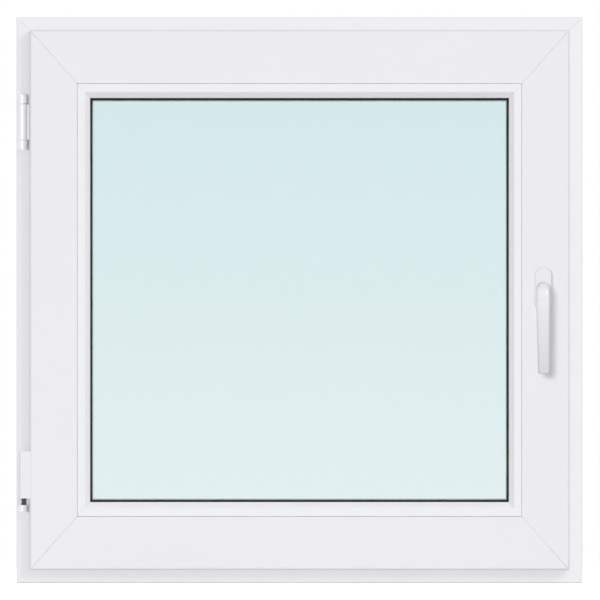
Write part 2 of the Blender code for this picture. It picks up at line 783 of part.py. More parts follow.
def build_hinges(frame, sash, materials):
    bottom, top = upper_barrel()
    sleeve = barrel(bottom + GAP, top - GAP, BARREL_RADIUS)
    upper = sash.add("upper_hinge_barrel", sleeve, materials["hinge"])
    join(upper, "upper_studs", [stud(bottom + STUD_INSET), stud(top - STUD_INSET)])

    block = prism("z", bottom - UPPER_BLOCK, bottom, bearing_outline())
    bearing = frame.add("upper_hinge_bearing", block, materials["hinge"])
    half = BARREL_RADIUS + BEARING_LIP - PLATE_INSET
    plate_low = (HINGE_X - half, ROOM_FACE - GAP - BEARING_PLATE, bottom - UPPER_BLOCK / 2)
    plate_high = (HINGE_X + half, ROOM_FACE - GAP, top + CAP_HEIGHT / 2)
    join(bearing, "upper_bearing_plate", [box(plate_low, plate_high)])
    socket = prism("z", bottom - UPPER_BLOCK / 2, bottom + GAP, circle(HINGE_X, HINGE_Y, PIN_RADIUS + GAP))
    cut(bearing, "upper_bearing_bore", [socket])

    pin_foot = bottom - UPPER_BLOCK / 2 + GAP
    pin_head = top + CAP_HEIGHT / 2
    pin_profile = [(0, pin_foot), (PIN_RADIUS, pin_foot), (PIN_RADIUS, pin_head), (0, pin_head)]
    frame.add("upper_hinge_pin", turned(pin_profile, (HINGE_X, HINGE_Y, 0), "z"), materials["steel"])

    cap_top = top + CAP_HEIGHT
    bore_top = pin_head + GAP
    flat = BARREL_RADIUS - CAP_EDGE
    crown = [
        (flat + CAP_EDGE * cos(pi / 8 * i), cap_top - CAP_EDGE + CAP_EDGE * sin(pi / 8 * i))
        for i in range(5)
    ]
    cap_profile = [
        (0, bore_top),
        (PIN_RADIUS + GAP, bore_top),
        (PIN_RADIUS + GAP, top + GAP),
        (BARREL_RADIUS, top + GAP),
        *crown,
        (0, cap_top),
    ]
    frame.add("upper_hinge_cap", turned(cap_profile, (HINGE_X, HINGE_Y, 0), "z"), materials["hinge"])
    build_lower_hinge(frame, sash, materials)


def build_lower_hinge(frame, sash, materials):
    bottom, top = lower_barrel()
    inner_bottom = bottom + COVER_WALL + GAP
    inner_top = top - COVER_WALL - GAP
    sleeve = barrel(inner_bottom, inner_top, LOWER_BARREL_RADIUS)
    lower = sash.add("lower_hinge_barrel", sleeve, materials["zinc"])
    join(lower, "lower_studs", [stud(bottom + STUD_INSET), stud(top - STUD_INSET)])

    sash_side = SASH_REVEAL - FRAME_WIDTH / 2 - GAP
    outline = rounded(
        [
            (HINGE_X - COVER_OUTSIDE, HINGE_Y - COVER_FRONT, 0.002),
            (sash_side, HINGE_Y - COVER_FRONT, SMALL_EDGE),
            (sash_side, HINGE_Y + COVER_BEHIND, SMALL_EDGE),
            (HINGE_X - COVER_OUTSIDE, HINGE_Y + COVER_BEHIND, SMALL_EDGE),
        ]
    )
    cover = sash.add("lower_hinge_cover", prism("z", bottom, top, outline), materials["hinge"])
    hollow_low = (
        HINGE_X - COVER_OUTSIDE + COVER_WALL,
        HINGE_Y - COVER_FRONT + COVER_WALL,
        bottom + COVER_WALL,
    )
    hollow_high = (sash_side + COVER_WALL, HINGE_Y + COVER_BEHIND - COVER_WALL / 2, top - COVER_WALL)
    pin_hole = circle(HINGE_X, HINGE_Y, PIN_RADIUS + GAP)
    pin_way = prism("z", bottom - COVER_WALL, bottom + 2 * COVER_WALL, pin_hole)
    cut(cover, "lower_cover_hollow", [box(hollow_low, hollow_high)])
    cut(cover, "lower_cover_pin_way", [pin_way])

    block_bottom = LOWER_HINGE_RISE
    block_top = block_bottom + LOWER_BLOCK
    block = prism("z", block_bottom, block_top, bearing_outline())
    bearing = frame.add("lower_hinge_bearing", block, materials["hinge"])
    seat = block_top - LOWER_BORE
    socket = prism("z", seat, block_top + GAP, pin_hole)
    cut(bearing, "lower_bearing_bore", [socket])
    foot = seat + GAP
    collar_bottom = block_top + GAP
    collar_top = bottom - GAP
    profile = [
        (0, foot),
        (PIN_RADIUS, foot),
        (PIN_RADIUS, collar_bottom),
        (COLLAR_RADIUS - COLLAR_EDGE, collar_bottom),
        (COLLAR_RADIUS, collar_bottom + COLLAR_EDGE),
        (COLLAR_RADIUS, collar_top - COLLAR_EDGE),
        (COLLAR_RADIUS - COLLAR_EDGE, collar_top),
        (PIN_RADIUS, collar_top),
        (PIN_RADIUS, top - 4 * COVER_WALL),
        (0, top - 4 * COVER_WALL),
    ]
    frame.add("lower_hinge_pin", turned(profile, (HINGE_X, HINGE_Y, 0), "z"), materials["steel"])


# ---------------------------------------------------------------- the handle


def at_handle(points, y):
    return [(HANDLE_X + a, y, HANDLE_HEIGHT + b) for a, b in points]


def build_rosette(sash, materials):
    """An oval cap over its base plate, with a round mouth for the lever's neck."""
    radius = ROSETTE_WIDTH / 2
    straight = ROSETTE_HEIGHT / 2 - radius
    back = SASH_FRONT - GAP
    front = SASH_FRONT - ROSETTE_DEPTH
    edge = ROSETTE_EDGE
    mouth = NECK_RADIUS + 2 * GAP
    rings = [at_handle(stadium(radius, straight), back)]
    for i in range(5):
        turn = pi / 8 * i
        rounding = stadium(radius - edge + edge * cos(turn), straight)
        rings.append(at_handle(rounding, front + edge - edge * sin(turn)))
    rings.append(at_handle(stadium(mouth, 0), front))
    rings.append(at_handle(stadium(mouth, 0), front + ROSETTE_WALL))
    rings.append(at_handle(stadium(radius - edge, straight), front + ROSETTE_WALL))
    rings.append(at_handle(stadium(radius - ROSETTE_WALL, straight), front + edge))
    rings.append(at_handle(stadium(radius - ROSETTE_WALL, straight), back))
    sash.add("handle_rosette", joined_rings(rings, cyclic=True), materials["handle"])

    plate_radius = radius - BASE_INSET
    plate = [(HANDLE_X + a, HANDLE_HEIGHT + b) for a, b in stadium(plate_radius, straight)]
    holes = [circle(HANDLE_X, HANDLE_HEIGHT, SPINDLE / sqrt(2) + 2 * GAP)]
    for side in (-1, 1):
        z = HANDLE_HEIGHT + side * HANDLE_SCREW_OFFSET
        holes.append(circle(HANDLE_X, z, SCREW_RADIUS + GAP, 16))
        head = back - BASE_THICKNESS - GAP
        name = "handle_screw_upper" if side > 0 else "handle_screw_lower"
        profile = [
            (0, GROOVE_MIDDLE),
            (SCREW_RADIUS, GROOVE_MIDDLE),
            (SCREW_RADIUS, head),
            (SCREW_HEAD_RADIUS, head),
            (SCREW_HEAD_RADIUS, head - SCREW_HEAD / 2),
            (SCREW_HEAD_RADIUS / 2, head - SCREW_HEAD),
            (0, head - SCREW_HEAD),
        ]
        sash.add(name, turned(profile, (HANDLE_X, 0, z), "y", 16), materials["steel"])
    sash.add("handle_base", prism("y", back - BASE_THICKNESS, back, plate, holes), materials["zinc"])


def lever_ring(middle, direction, half_width, half_thickness, shift, squareness, count=20):
    """A superellipse across the lever: `direction` is its path's direction in (y, z)."""
    across = Vector((0, -direction[1], direction[0]))
    points = []
    for i in range(count):
        angle = 2 * pi * i / count
        c = cos(angle)
        s = sin(angle)
        side = half_width * abs(c) ** (2 / squareness) * (1 if c > 0 else -1) + shift
        depth = half_thickness * abs(s) ** (2 / squareness) * (1 if s > 0 else -1)
        base = Vector((HANDLE_X + side, middle[0], HANDLE_HEIGHT + middle[1]))
        points.append(base + across * depth)
    return points


def build_lever(handle, materials):
    """A round neck that bends down into a flat, tapering grip."""
    neck_start = SASH_FRONT - BASE_THICKNESS - 4 * GAP
    grip_y = SASH_FRONT - LEVER_PROJECTION
    bend_y = grip_y + LEVER_BEND
    rings = []
    for y in (neck_start, bend_y):
        rings.append(lever_ring((y, 0), (-1, 0), NECK_RADIUS, NECK_RADIUS, 0, NECK_SQUARENESS))
    bend_steps = 6
    for i in range(1, bend_steps + 1):
        share = i / bend_steps
        turn = share * pi / 2
        middle = (bend_y - LEVER_BEND * sin(turn), -LEVER_BEND + LEVER_BEND * cos(turn))
        rings.append(
            lever_ring(
                middle,
                (-cos(turn), -sin(turn)),
                NECK_RADIUS + (LEVER_TOP_HALF - NECK_RADIUS) * share,
                NECK_RADIUS + (LEVER_HALF_THICKNESS - NECK_RADIUS) * share,
                LEVER_TOP_SHIFT * share,
                NECK_SQUARENESS + (GRIP_SQUARENESS - NECK_SQUARENESS) * share,
            )
        )
    grip_steps = 5
    for i in range(1, grip_steps + 1):
        share = i / grip_steps
        rings.append(grip_ring(grip_y, share, 0))
    rings.append(grip_ring(grip_y, 1, LEVER_EDGE / 3, LEVER_EDGE * 0.75))
    rings.append(grip_ring(grip_y, 1, LEVER_EDGE, LEVER_EDGE))
    lever = handle.add("handle_lever", joined_rings(rings), materials["handle"])
    half = SPINDLE / 2 + GAP
    deep = grip_y + LEVER_HALF_THICKNESS + SPINDLE_SHORT
    hole = box(
        (HANDLE_X - half, deep, HANDLE_HEIGHT - half),
        (HANDLE_X + half, neck_start + CUT_BEYOND, HANDLE_HEIGHT + half),
    )
    cut(lever, "lever_square_hole", [hole])

    half = SPINDLE / 2
    spindle = box(
        (HANDLE_X - half, deep + GAP, HANDLE_HEIGHT - half),
        (HANDLE_X + half, GROOVE_MIDDLE + GEAR_THICKNESS / 2, HANDLE_HEIGHT + half),
    )
    handle.add("handle_spindle", spindle, materials["steel"])


def grip_ring(y, share, inset, drop=0.0):
    """The grip's section `share` of the way from the bend to its end, drawn in by `inset`."""
    z = -LEVER_BEND - (LEVER_LENGTH - LEVER_EDGE - LEVER_BEND) * share - drop
    half_width = LEVER_TOP_HALF + (LEVER_END_HALF - LEVER_TOP_HALF) * share
    half_thickness = LEVER_HALF_THICKNESS + (LEVER_END_HALF_THICKNESS - LEVER_HALF_THICKNESS) * share
    shift = LEVER_TOP_SHIFT + (LEVER_END_SHIFT - LEVER_TOP_SHIFT) * share
    return lever_ring((y, z), (0, -1), half_width - inset, half_thickness - inset, shift, GRIP_SQUARENESS)


# ---------------------------------------------------------------- the lock


def gear_outline():
    """An involute pinion about the spindle, with one tooth pointing along +X."""
    base = PITCH_RADIUS * cos(GEAR_PRESSURE)
    outer = PITCH_RADIUS + GEAR_ADDENDUM
    root = PITCH_RADIUS - GEAR_DEDENDUM + GAP
    at_pitch = tan(GEAR_PRESSURE) - GEAR_PRESSURE
    half_tooth = pi / (2 * GEAR_TEETH) - GEAR_BACKLASH / (2 * PITCH_RADIUS)
    roll_end = sqrt((outer / base) ** 2 - 1)
    steps = 4
    flank = [(root, half_tooth + at_pitch)]
    for i in range(steps + 1):
        roll = roll_end * i / steps
        radius = base * sqrt(1 + roll * roll)
        flank.append((radius, half_tooth + at_pitch - (roll - atan(roll))))
    points = []
    for tooth in range(GEAR_TEETH):
        middle = 2 * pi * tooth / GEAR_TEETH
        for radius, angle in flank:
            points.append((radius, middle - angle))
        for radius, angle in reversed(flank):
            points.append((radius, middle + angle))
    return [(HANDLE_X + r * cos(a), HANDLE_HEIGHT + r * sin(a)) for r, a in points]


def rack_teeth(inward, first, last):
    """Tooth outline points from z = first to last, teeth pointing along `inward` (+1 or -1) in X.

    The pitch line is a pitch radius from the spindle, with a tooth gap level with it.
    """
    pitch = pi * GEAR_MODULE
    line = HANDLE_X - inward * PITCH_RADIUS
    half = pitch / 4 - GEAR_BACKLASH / 2
    tip = half - RACK_ADDENDUM * tan(GEAR_PRESSURE)
    foot = half + RACK_FOOT * tan(GEAR_PRESSURE)
    low = line - inward * RACK_FOOT
    high = line + inward * RACK_ADDENDUM
    points = []
    for n in range(first, last):
        middle = HANDLE_HEIGHT + (n + 0.5) * pitch
        points += [(low, middle - foot), (high, middle - tip), (high, middle + tip), (low, middle + foot)]
    return points


def bar_faces():
    """X of a lock bar's outer and inner faces."""
    outer = FRAME_WIDTH / 2 - SASH_EDGE - FACEPLATE - 3 * GAP
    return outer, outer - BAR_THICKNESS


def cam_heights():
    low = along_rail(SASH_EDGE) + CAM_FROM_END
    high = FRAME_HEIGHT - along_rail(SASH_EDGE) - CAM_FROM_END
    return low, high


def build_lock(frame, sash, handle, upper_bar, lower_bar, materials):
    half = GEAR_THICKNESS / 2
    square = SPINDLE / 2 + GAP
    hole = rectangle(HANDLE_X - square, HANDLE_HEIGHT - square, HANDLE_X + square, HANDLE_HEIGHT + square)
    pinion = prism("y", GROOVE_MIDDLE - half, GROOVE_MIDDLE + half, gear_outline(), [hole])
    handle.add("drive_pinion", pinion, materials["steel"])
    build_lock_bars(upper_bar, lower_bar, materials)

    low, high = case_box(0)
    case = sash.add("gearbox_case", box(low, high), materials["zinc"])
    inside_low = [value + CASE_WALL for value in low]
    inside_high = (high[0] + CASE_WALL, high[1] - CASE_WALL, high[2] - CASE_WALL)
    cut(case, "case_hollow", [box(inside_low, inside_high)])
    wall_end = low[1] + 2 * CASE_WALL
    through = handle_holes(SPINDLE / sqrt(2) + GAP, SCREW_RADIUS + GAP, low[1] - WALL, wall_end)
    cut(case, "case_holes", through)

    outer = FRAME_WIDTH / 2 - SASH_EDGE - GAP
    half_plate = GROOVE_WIDTH / 2 - GAP
    ends = along_rail(SASH_EDGE) + BAR_END / 2
    plate = rectangle(
        GROOVE_MIDDLE - half_plate,
        ends,
        GROOVE_MIDDLE + half_plate,
        FRAME_HEIGHT - ends,
        FACEPLATE_CORNER,
    )
    slots = [cam_slot(z, way) for z, way in zip(cam_heights(), (-1, 1))]
    sash.add("lock_faceplate", prism("x", outer - FACEPLATE, outer, plate, slots), materials["steel"])
    for name, z, way in zip(("keep_lower", "keep_upper"), cam_heights(), (-1, 1)):
        build_keep(frame, materials, name, z + way * BAR_TRAVEL / 2)
    build_run_up(frame, sash, materials)


def cam_slot(z, way):
    """The faceplate's slot for a cam at height z that travels up (way 1) or down (way -1)."""
    radius = CAM_RADIUS + SLOT_CLEARANCE
    middle = z + way * BAR_TRAVEL / 2
    outline = stadium(radius, BAR_TRAVEL / 2 + SLOT_CLEARANCE, 24)
    return [(GROOVE_MIDDLE + a, middle + b) for a, b in outline]


def build_lock_bars(upper_bar, lower_bar, materials):
    """Each bar carries a rack on its own side of the pinion, so the bars move apart."""
    outer, inner = bar_faces()
    half = GEAR_THICKNESS / 2
    low = along_rail(SASH_EDGE) + BAR_END
    high = FRAME_HEIGHT - low
    near = rack_teeth(-1, -1, 4)
    rack_top = near[-1][1] + RACK_END
    rack_foot = near[0][1] - RACK_END
    near_outline = [(outer, low), (outer, rack_top), (near[-1][0], rack_top)]
    near_outline += [*reversed(near), (near[0][0], rack_foot), (inner, rack_foot), (inner, low)]
    lower = prism("y", GROOVE_MIDDLE - half, GROOVE_MIDDLE + half, near_outline)
    lower_bar.add("lower_lock_bar", lower, materials["steel"])

    far = rack_teeth(1, -4, 1)
    spine = far[0][0] - RACK_SPINE
    far_foot = far[0][1] - RACK_END
    bridge_low = HANDLE_HEIGHT + HANDLE_SCREW_OFFSET + SCREW_RADIUS + BRIDGE_CLEARANCE
    bridge_high = bridge_low + BRIDGE
    far_outline = [(outer, high), (outer, bridge_low), (far[0][0], bridge_low)]
    far_outline += [*reversed(far), (far[0][0], far_foot), (spine, far_foot), (spine, bridge_high)]
    far_outline += [(inner, bridge_high), (inner, high)]
    upper = prism("y", GROOVE_MIDDLE - half, GROOVE_MIDDLE + half, far_outline)
    upper_bar.add("upper_lock_bar", upper, materials["steel"])

    start = outer + GAP
    tip = FRAME_WIDTH / 2 - SASH_EDGE + CAM_REACH
    profile = [
        (0, start),
        (CAM_RADIUS, start),
        (CAM_RADIUS, tip - CAM_HEAD),
        (CAM_HEAD_RADIUS, tip - CAM_HEAD),
        (CAM_HEAD_RADIUS, tip - CAM_HEAD / 3),
        (CAM_RADIUS, tip),
        (0, tip),
    ]
    low_cam, high_cam = cam_heights()
    for body, name, z in ((lower_bar, "lower_lock_cam", low_cam), (upper_bar, "upper_lock_cam", high_cam)):
        body.add(name, turned(profile, (0, GROOVE_MIDDLE, z), "x"), materials["steel"])


def build_keep(frame, materials, name, z):
    """A striker plate on the jamb with a low lip on the room side of the cam's path."""
    face = FRAME_WIDTH / 2 - FRAME_LEG - GAP
    low = GROOVE_MIDDLE - KEEP_WIDTH / 2
    outline = [
        (face, low),
        (face - KEEP_LIP, low),
        (face - KEEP_LIP, low + KEEP_LIP_WIDTH - KEEP_PLATE),
        (face - KEEP_PLATE, low + KEEP_LIP_WIDTH),
        (face - KEEP_PLATE, low + KEEP_WIDTH),
        (face, low + KEEP_WIDTH),
    ]
    plate = prism("z", z - KEEP_LENGTH / 2, z + KEEP_LENGTH / 2, outline)
    frame.add(name, plate, materials["zinc"])


def build_run_up(frame, sash, materials):
    """The sill's block that lifts the closing sash by its shoe."""
    middle = FRAME_WIDTH / 2 - SASH_EDGE - RUN_UP_LENGTH
    shoe_top = along_rail(SASH_EDGE) - GAP
    shoe_bottom = shoe_top - SHOE_THICKNESS
    block_top = shoe_bottom - RUN_UP_CLEARANCE
    half = RUN_UP_WIDTH / 2
    outline = [
        (GROOVE_MIDDLE - half, FRAME_LEG + GAP),
        (GROOVE_MIDDLE + half, FRAME_LEG + GAP),
        (GROOVE_MIDDLE + half, block_top),
        (GROOVE_MIDDLE - half + RUN_UP_RAMP, block_top),
        (GROOVE_MIDDLE - half, block_top - RUN_UP_RAMP / 2),
    ]
    block = prism("x", middle - RUN_UP_LENGTH / 2, middle + RUN_UP_LENGTH / 2, outline)
    frame.add("run_up_block", block, materials["packer"])
    low = (middle - RUN_UP_LENGTH / 2, GROOVE_MIDDLE - half - SHOE_OVERHANG, shoe_bottom)
    high = (middle + RUN_UP_LENGTH / 2, GROOVE_MIDDLE + half + SHOE_OVERHANG, shoe_top)
    sash.add("run_up_shoe", box(low, high, SMALL_EDGE), materials["packer"])


def main():
    for old in list(bpy.data.objects):
        bpy.data.objects.remove(old, do_unlink=True)
    materials = make_materials()
    frame = Body("frame")
    sash = Body("sash_turn", SASH_AXIS)
    handle = Body("handle_turn", HANDLE_AXIS, sash)
    bar_line = Vector((bar_faces()[0], GROOVE_MIDDLE, HANDLE_HEIGHT))
    upper_bar = Body("upper_bar_slide", bar_line, sash)
    lower_bar = Body("lower_bar_slide", bar_line, sash)
    build_frame(frame, materials)
    build_sash(sash, materials)
    build_glazing(sash, materials)
    build_hinges(frame, sash, materials)
    build_rosette(sash, materials)
    build_lever(handle, materials)
    build_lock(frame, sash, handle, upper_bar, lower_bar, materials)


main()
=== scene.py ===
import json
from math import asin, cos, pi, radians, sin, tan

import bmesh
import bpy
from mathutils import Matrix, Vector


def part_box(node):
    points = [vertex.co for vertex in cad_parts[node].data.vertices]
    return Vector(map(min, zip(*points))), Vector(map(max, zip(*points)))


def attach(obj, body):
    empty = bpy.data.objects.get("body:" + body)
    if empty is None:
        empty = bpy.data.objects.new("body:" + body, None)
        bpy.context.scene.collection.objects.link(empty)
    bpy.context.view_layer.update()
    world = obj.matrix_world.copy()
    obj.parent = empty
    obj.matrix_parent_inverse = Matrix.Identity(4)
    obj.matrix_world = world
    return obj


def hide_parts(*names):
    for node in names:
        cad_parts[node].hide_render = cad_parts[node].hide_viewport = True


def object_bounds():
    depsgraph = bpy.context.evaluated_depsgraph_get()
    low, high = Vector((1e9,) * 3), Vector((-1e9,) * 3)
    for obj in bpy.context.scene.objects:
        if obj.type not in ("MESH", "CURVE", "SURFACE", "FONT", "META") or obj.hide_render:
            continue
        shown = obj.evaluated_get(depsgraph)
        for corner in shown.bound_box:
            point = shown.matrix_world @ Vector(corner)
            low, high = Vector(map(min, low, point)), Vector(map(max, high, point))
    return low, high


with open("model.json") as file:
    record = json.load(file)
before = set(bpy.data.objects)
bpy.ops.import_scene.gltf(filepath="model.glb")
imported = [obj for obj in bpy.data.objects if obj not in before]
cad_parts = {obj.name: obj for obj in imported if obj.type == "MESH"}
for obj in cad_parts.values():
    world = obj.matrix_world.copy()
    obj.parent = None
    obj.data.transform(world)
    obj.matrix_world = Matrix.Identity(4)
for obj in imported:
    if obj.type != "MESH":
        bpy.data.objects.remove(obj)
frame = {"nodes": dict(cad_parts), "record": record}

nodes = frame["nodes"]
cadLow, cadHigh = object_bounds()
mm = 0.001
print("frame loaded:", len(nodes), "nodes")

# where the window's bars lie, read from the frame

jambLow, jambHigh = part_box("frame_jamb_hinge")
stileLow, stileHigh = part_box("sash_stile_hinge")
beadLow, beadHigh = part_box("glazing_bead_hinge")
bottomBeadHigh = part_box("glazing_bead_bottom")[1]
roomPaneLow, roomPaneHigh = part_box("glass_pane_room")
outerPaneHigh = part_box("glass_pane_outside")[1]
plateLow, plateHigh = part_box("lock_faceplate")

halfWidth = -jambLow.x
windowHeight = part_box("frame_head")[1].z
reveal = stileLow.x + halfWidth
sightLine = beadHigh.x + halfWidth
beadLine = beadLow.x + halfWidth
railStretch = (bottomBeadHigh.z - reveal) / (sightLine - reveal)
roomFace = jambLow.y
outsideFace = jambHigh.y
sashFront = stileLow.y
sashBack = stileHigh.y


# keeps a sash section's mitres in one plane where the rails are wider than the stiles
def alongRail(w):
    return reveal + (w - reveal) * railStretch


def alongHead(w):
    return w


# outlines and meshes


# corners are (a, b, radius). A hold point on each side of an arc keeps the flats flat when shaded
def roundedOutline(corners, steps=6, hold=0.08 * mm):
    outline = []
    for i, (a, b, radius) in enumerate(corners):
        here = Vector((a, b))
        if not radius:
            outline.append(here)
            continue
        before = (Vector(corners[i - 1][:2]) - here).normalized()
        after = (Vector(corners[(i + 1) % len(corners)][:2]) - here).normalized()
        half = before.angle(after) / 2
        reach = radius / tan(half)
        centre = here + (before + after).normalized() * (radius / sin(half))
        start = here + before * reach - centre
        sweep = start.angle_signed(here + after * reach - centre)
        outline.append(centre + start + before * hold)
        for k in range(steps + 1):
            outline.append(centre + Matrix.Rotation(-sweep * k / steps, 2) @ start)
        outline.append(here + after * (reach + hold))
    return outline


# the same corners drawn in all round, with radii that still fit
def insetCorners(corners, inset):
    points = [Vector(corner[:2]) for corner in corners]
    count = len(points)
    area = sum(points[i].cross(points[(i + 1) % count]) for i in range(count))
    turn = 1 if area > 0 else -1
    moved = []
    for i, here in enumerate(points):
        first = (here - points[i - 1]).normalized()
        second = (points[(i + 1) % count] - here).normalized()
        firstIn = Vector((-first.y, first.x)) * turn
        secondIn = Vector((-second.y, second.x)) * turn
        place = here + (firstIn + secondIn) * (inset / (1 + firstIn.dot(secondIn)))
        radius = corners[i][2]
        if radius:
            bulges = first.cross(second) * turn > 0
            radius = max(radius - inset, 0.05 * mm) if bulges else radius + inset
        moved.append((place.x, place.y, radius))
    return moved


# each point moved in square to the outline, for a small chamfer
def insetOutline(outline, inset):
    count = len(outline)
    area = sum(
        outline[i].x * outline[(i + 1) % count].y - outline[(i + 1) % count].x * outline[i].y
        for i in range(count)
    )
    turn = 1 if area > 0 else -1
    moved = []
    for i, point in enumerate(outline):
        first = (point - outline[i - 1]).normalized()
        second = (outline[(i + 1) % count] - point).normalized()
        way = first + second
        if way.length < 1e-6:
            way = first
        way.normalize()
        moved.append(point + Vector((-way.y, way.x)) * inset * turn)
    return moved


def circlePoints(radius, count=48):
    turns = [2 * pi * i / count for i in range(count)]
    return [Vector((radius * cos(turn), radius * sin(turn))) for turn in turns]


# an upright outline with round ends, `straight` from its middle to each end's centre
def slotPoints(radius, straight, count=64):
    points = []
    for i in range(count):
        turn = 2 * pi * (i + 0.5) / count
        rise = straight if turn < pi else -straight
        points.append(Vector((radius * cos(turn), radius * sin(turn) + rise)))
    return points


# a piece's shape with its modifiers worked in
def plainMesh(piece):
    bpy.context.view_layer.update()
    finished = piece.evaluated_get(bpy.context.evaluated_depsgraph_get())
    return bpy.data.meshes.new_from_object(finished)


# the mesh less its cutters, or joined with them, as a new plain mesh
def carveMesh(mesh, cutters, operation="DIFFERENCE"):
    cutter = joinMeshes("cutter", cutters)
    pieces = [bpy.data.objects.new("carved", mesh), bpy.data.objects.new("cutter", cutter)]
    for piece in pieces:
        bpy.context.scene.collection.objects.link(piece)
    modifier = pieces[0].modifiers.new("carve", "BOOLEAN")
    modifier.solver = "EXACT"
    modifier.operation = operation
    modifier.object = pieces[1]
    result = plainMesh(pieces[0])
    for piece in pieces:
        old = piece.data
        bpy.data.objects.remove(piece)
        bpy.data.meshes.remove(old)
    return result


def closeMesh(bm, name):
    bmesh.ops.recalc_face_normals(bm, faces=bm.faces)
    if bm.calc_volume(signed=True) < 0:
        bmesh.ops.reverse_faces(bm, faces=bm.faces)
    mesh = bpy.data.meshes.new(name)
    bm.to_mesh(mesh)
    bm.free()
    return mesh


def ringsToMesh(name, rings, cyclic=False, caps=True):
    bm = bmesh.new()
    made = [[bm.verts.new(point) for point in ring] for ring in rings]
    count = len(made[0])
    pairs = list(zip(made, made[1:]))
    if cyclic:
        pairs.append((made[-1], made[0]))
    for first, second in pairs:
        for i in range(count):
            j = (i + 1) % count
            bm.faces.new((first[i], first[j], second[j], second[i]))
    if caps and not cyclic:
        bm.faces.new(made[0])
        bm.faces.new(made[-1])
    return closeMesh(bm, name)


# a piece turned about z or x, from (radius, along) points that start and end on the axis
def turnedMesh(name, profile, centre, axis="z", count=48):
    bm = bmesh.new()
    rings = []
    for radius, along in profile:
        if radius < 1e-7:
            rings.append([bm.verts.new((0, 0, along))])
        else:
            rings.append([bm.verts.new((p.x, p.y, along)) for p in circlePoints(radius, count)])
    for first, second in zip(rings, rings[1:]):
        for i in range(count):
            j = (i + 1) % count
            near = (first[i % len(first)], first[j % len(first)])
            far = (second[j % len(second)], second[i % len(second)])
            bm.faces.new(list(dict.fromkeys(near + far)))
    turn = Matrix.Rotation(pi / 2, 4, "Y") if axis == "x" else Matrix()
    bm.transform(Matrix.Translation(centre) @ turn)
    return closeMesh(bm, name)


def blockMesh(name, low, high, edge=0.0, segments=4):
    bm = bmesh.new()
    bmesh.ops.create_cube(bm, size=1)
    size = Vector(high) - Vector(low)
    bm.transform(Matrix.Translation((Vector(high) + Vector(low)) / 2) @ Matrix.Diagonal(size).to_4x4())
    if edge:
        bmesh.ops.bevel(bm, geom=bm.edges, offset=edge, segments=segments, profile=0.5, affect="EDGES")
    return closeMesh(bm, name)


def joinMeshes(name, meshes):
    bm = bmesh.new()
    for mesh in meshes:
        bm.from_mesh(mesh)
        bpy.data.meshes.remove(mesh)
    joined = bpy.data.meshes.new(name)
    bm.to_mesh(joined)
    bm.free()
    return joined


# puts a finished mesh in the scene, smooth but for its real edges, and lets it ride on its body
def addPiece(name, mesh, material, body, replaced=(), sharp=30):
    mesh.name = name
    mesh.materials.clear()
    mesh.materials.append(material)
    mesh.shade_smooth()
    mesh.set_sharp_from_angle(angle=radians(sharp))
    piece = bpy.data.objects.new(name, mesh)
    bpy.context.scene.collection.objects.link(piece)
    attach(piece, body)
    if replaced:
        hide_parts(*replaced)
    return piece


# bars and rings of the four sides


# a section point (w, y) on one side, at both ends of its bar. The mitre is where a point at atW ends
def barPlace(side, stretch, w, y, atW, short):
    reach = stretch(atW) + short
    if side in ("hinge", "lock"):
        x = w - halfWidth if side == "hinge" else halfWidth - w
        return (x, y, reach), (x, y, windowHeight - reach)
    z = stretch(w) if side == "bottom" else windowHeight - stretch(w)
    across = halfWidth - atW - short
    return (-across, y, z), (across, y, z)


# a bar whose ends are drawn in a little, so that two bars meet in a fine weld groove
def mitredBar(name, side, stretch, corners, hold, s):
    outline = roundedOutline(corners, hold=hold)
    drawnIn = roundedOutline(insetCorners(corners, s["weldDepth"]), hold=hold)
    starts, ends = [], []
    for section, short in ((drawnIn, s["mitreGap"]), (outline, s["mitreGap"] + s["weldWidth"])):
        placed = [barPlace(side, stretch, p.x, p.y, p.x, short) for p in section]
        starts.append([first for first, _ in placed])
        ends.append([second for _, second in placed])
    return ringsToMesh(name, starts + ends[::-1])


# a section carried round all four sides, such as a gasket
def ringMesh(name, stretch, outline):
    middle = windowHeight / 2
    rings = [
        [(sx * (halfWidth - p.x), p.y, middle + sz * (middle - stretch(p.x))) for p in outline]
        for sx, sz in ((-1, -1), (1, -1), (1, 1), (-1, 1))
    ]
    return ringsToMesh(name, rings, cyclic=True)


# node helpers


def addNode(tree, kind, **settings):
    node = tree.nodes.new(kind)
    for key, value in settings.items():
        setattr(node, key, value)
    return node


def setInputs(node, **values):
    for key, value in values.items():
        node.inputs[key].default_value = value
    return node


# a node group with named sockets. inputs and outputs are (name, socket type, default)
def newGroup(name, kind, inputs, outputs):
    group = bpy.data.node_groups.new(name, kind)
    for label, socketType, default in inputs:
        socket = group.interface.new_socket(name=label, in_out="INPUT", socket_type=socketType)
        if default is not None:
            socket.default_value = default
    for label, socketType in outputs:
        group.interface.new_socket(name=label, in_out="OUTPUT", socket_type=socketType)
    return group, group.nodes.new("NodeGroupInput"), group.nodes.new("NodeGroupOutput")


def mathNode(tree, operation, a, b=None, clamp=False):
    node = addNode(tree, "ShaderNodeMath", operation=operation, use_clamp=clamp)
    for i, value in enumerate((a, b)):
        if value is None:
            continue
        if isinstance(value, (int, float)):
            node.inputs[i].default_value = value
        else:
            tree.links.new(value, node.inputs[i])
    return node.outputs[0]


def mixColour(tree, factor, first, second):
    node = addNode(tree, "ShaderNodeMix", data_type="RGBA")
    for socket, value in ((node.inputs[0], factor), (node.inputs[6], first), (node.inputs[7], second)):
        if isinstance(value, (int, float)):
            socket.default_value = value
        elif isinstance(value, (tuple, list)):
            socket.default_value = (*value, 1)
        else:
            tree.links.new(value, socket)
    return node.outputs[2]


# effects that several finishes share


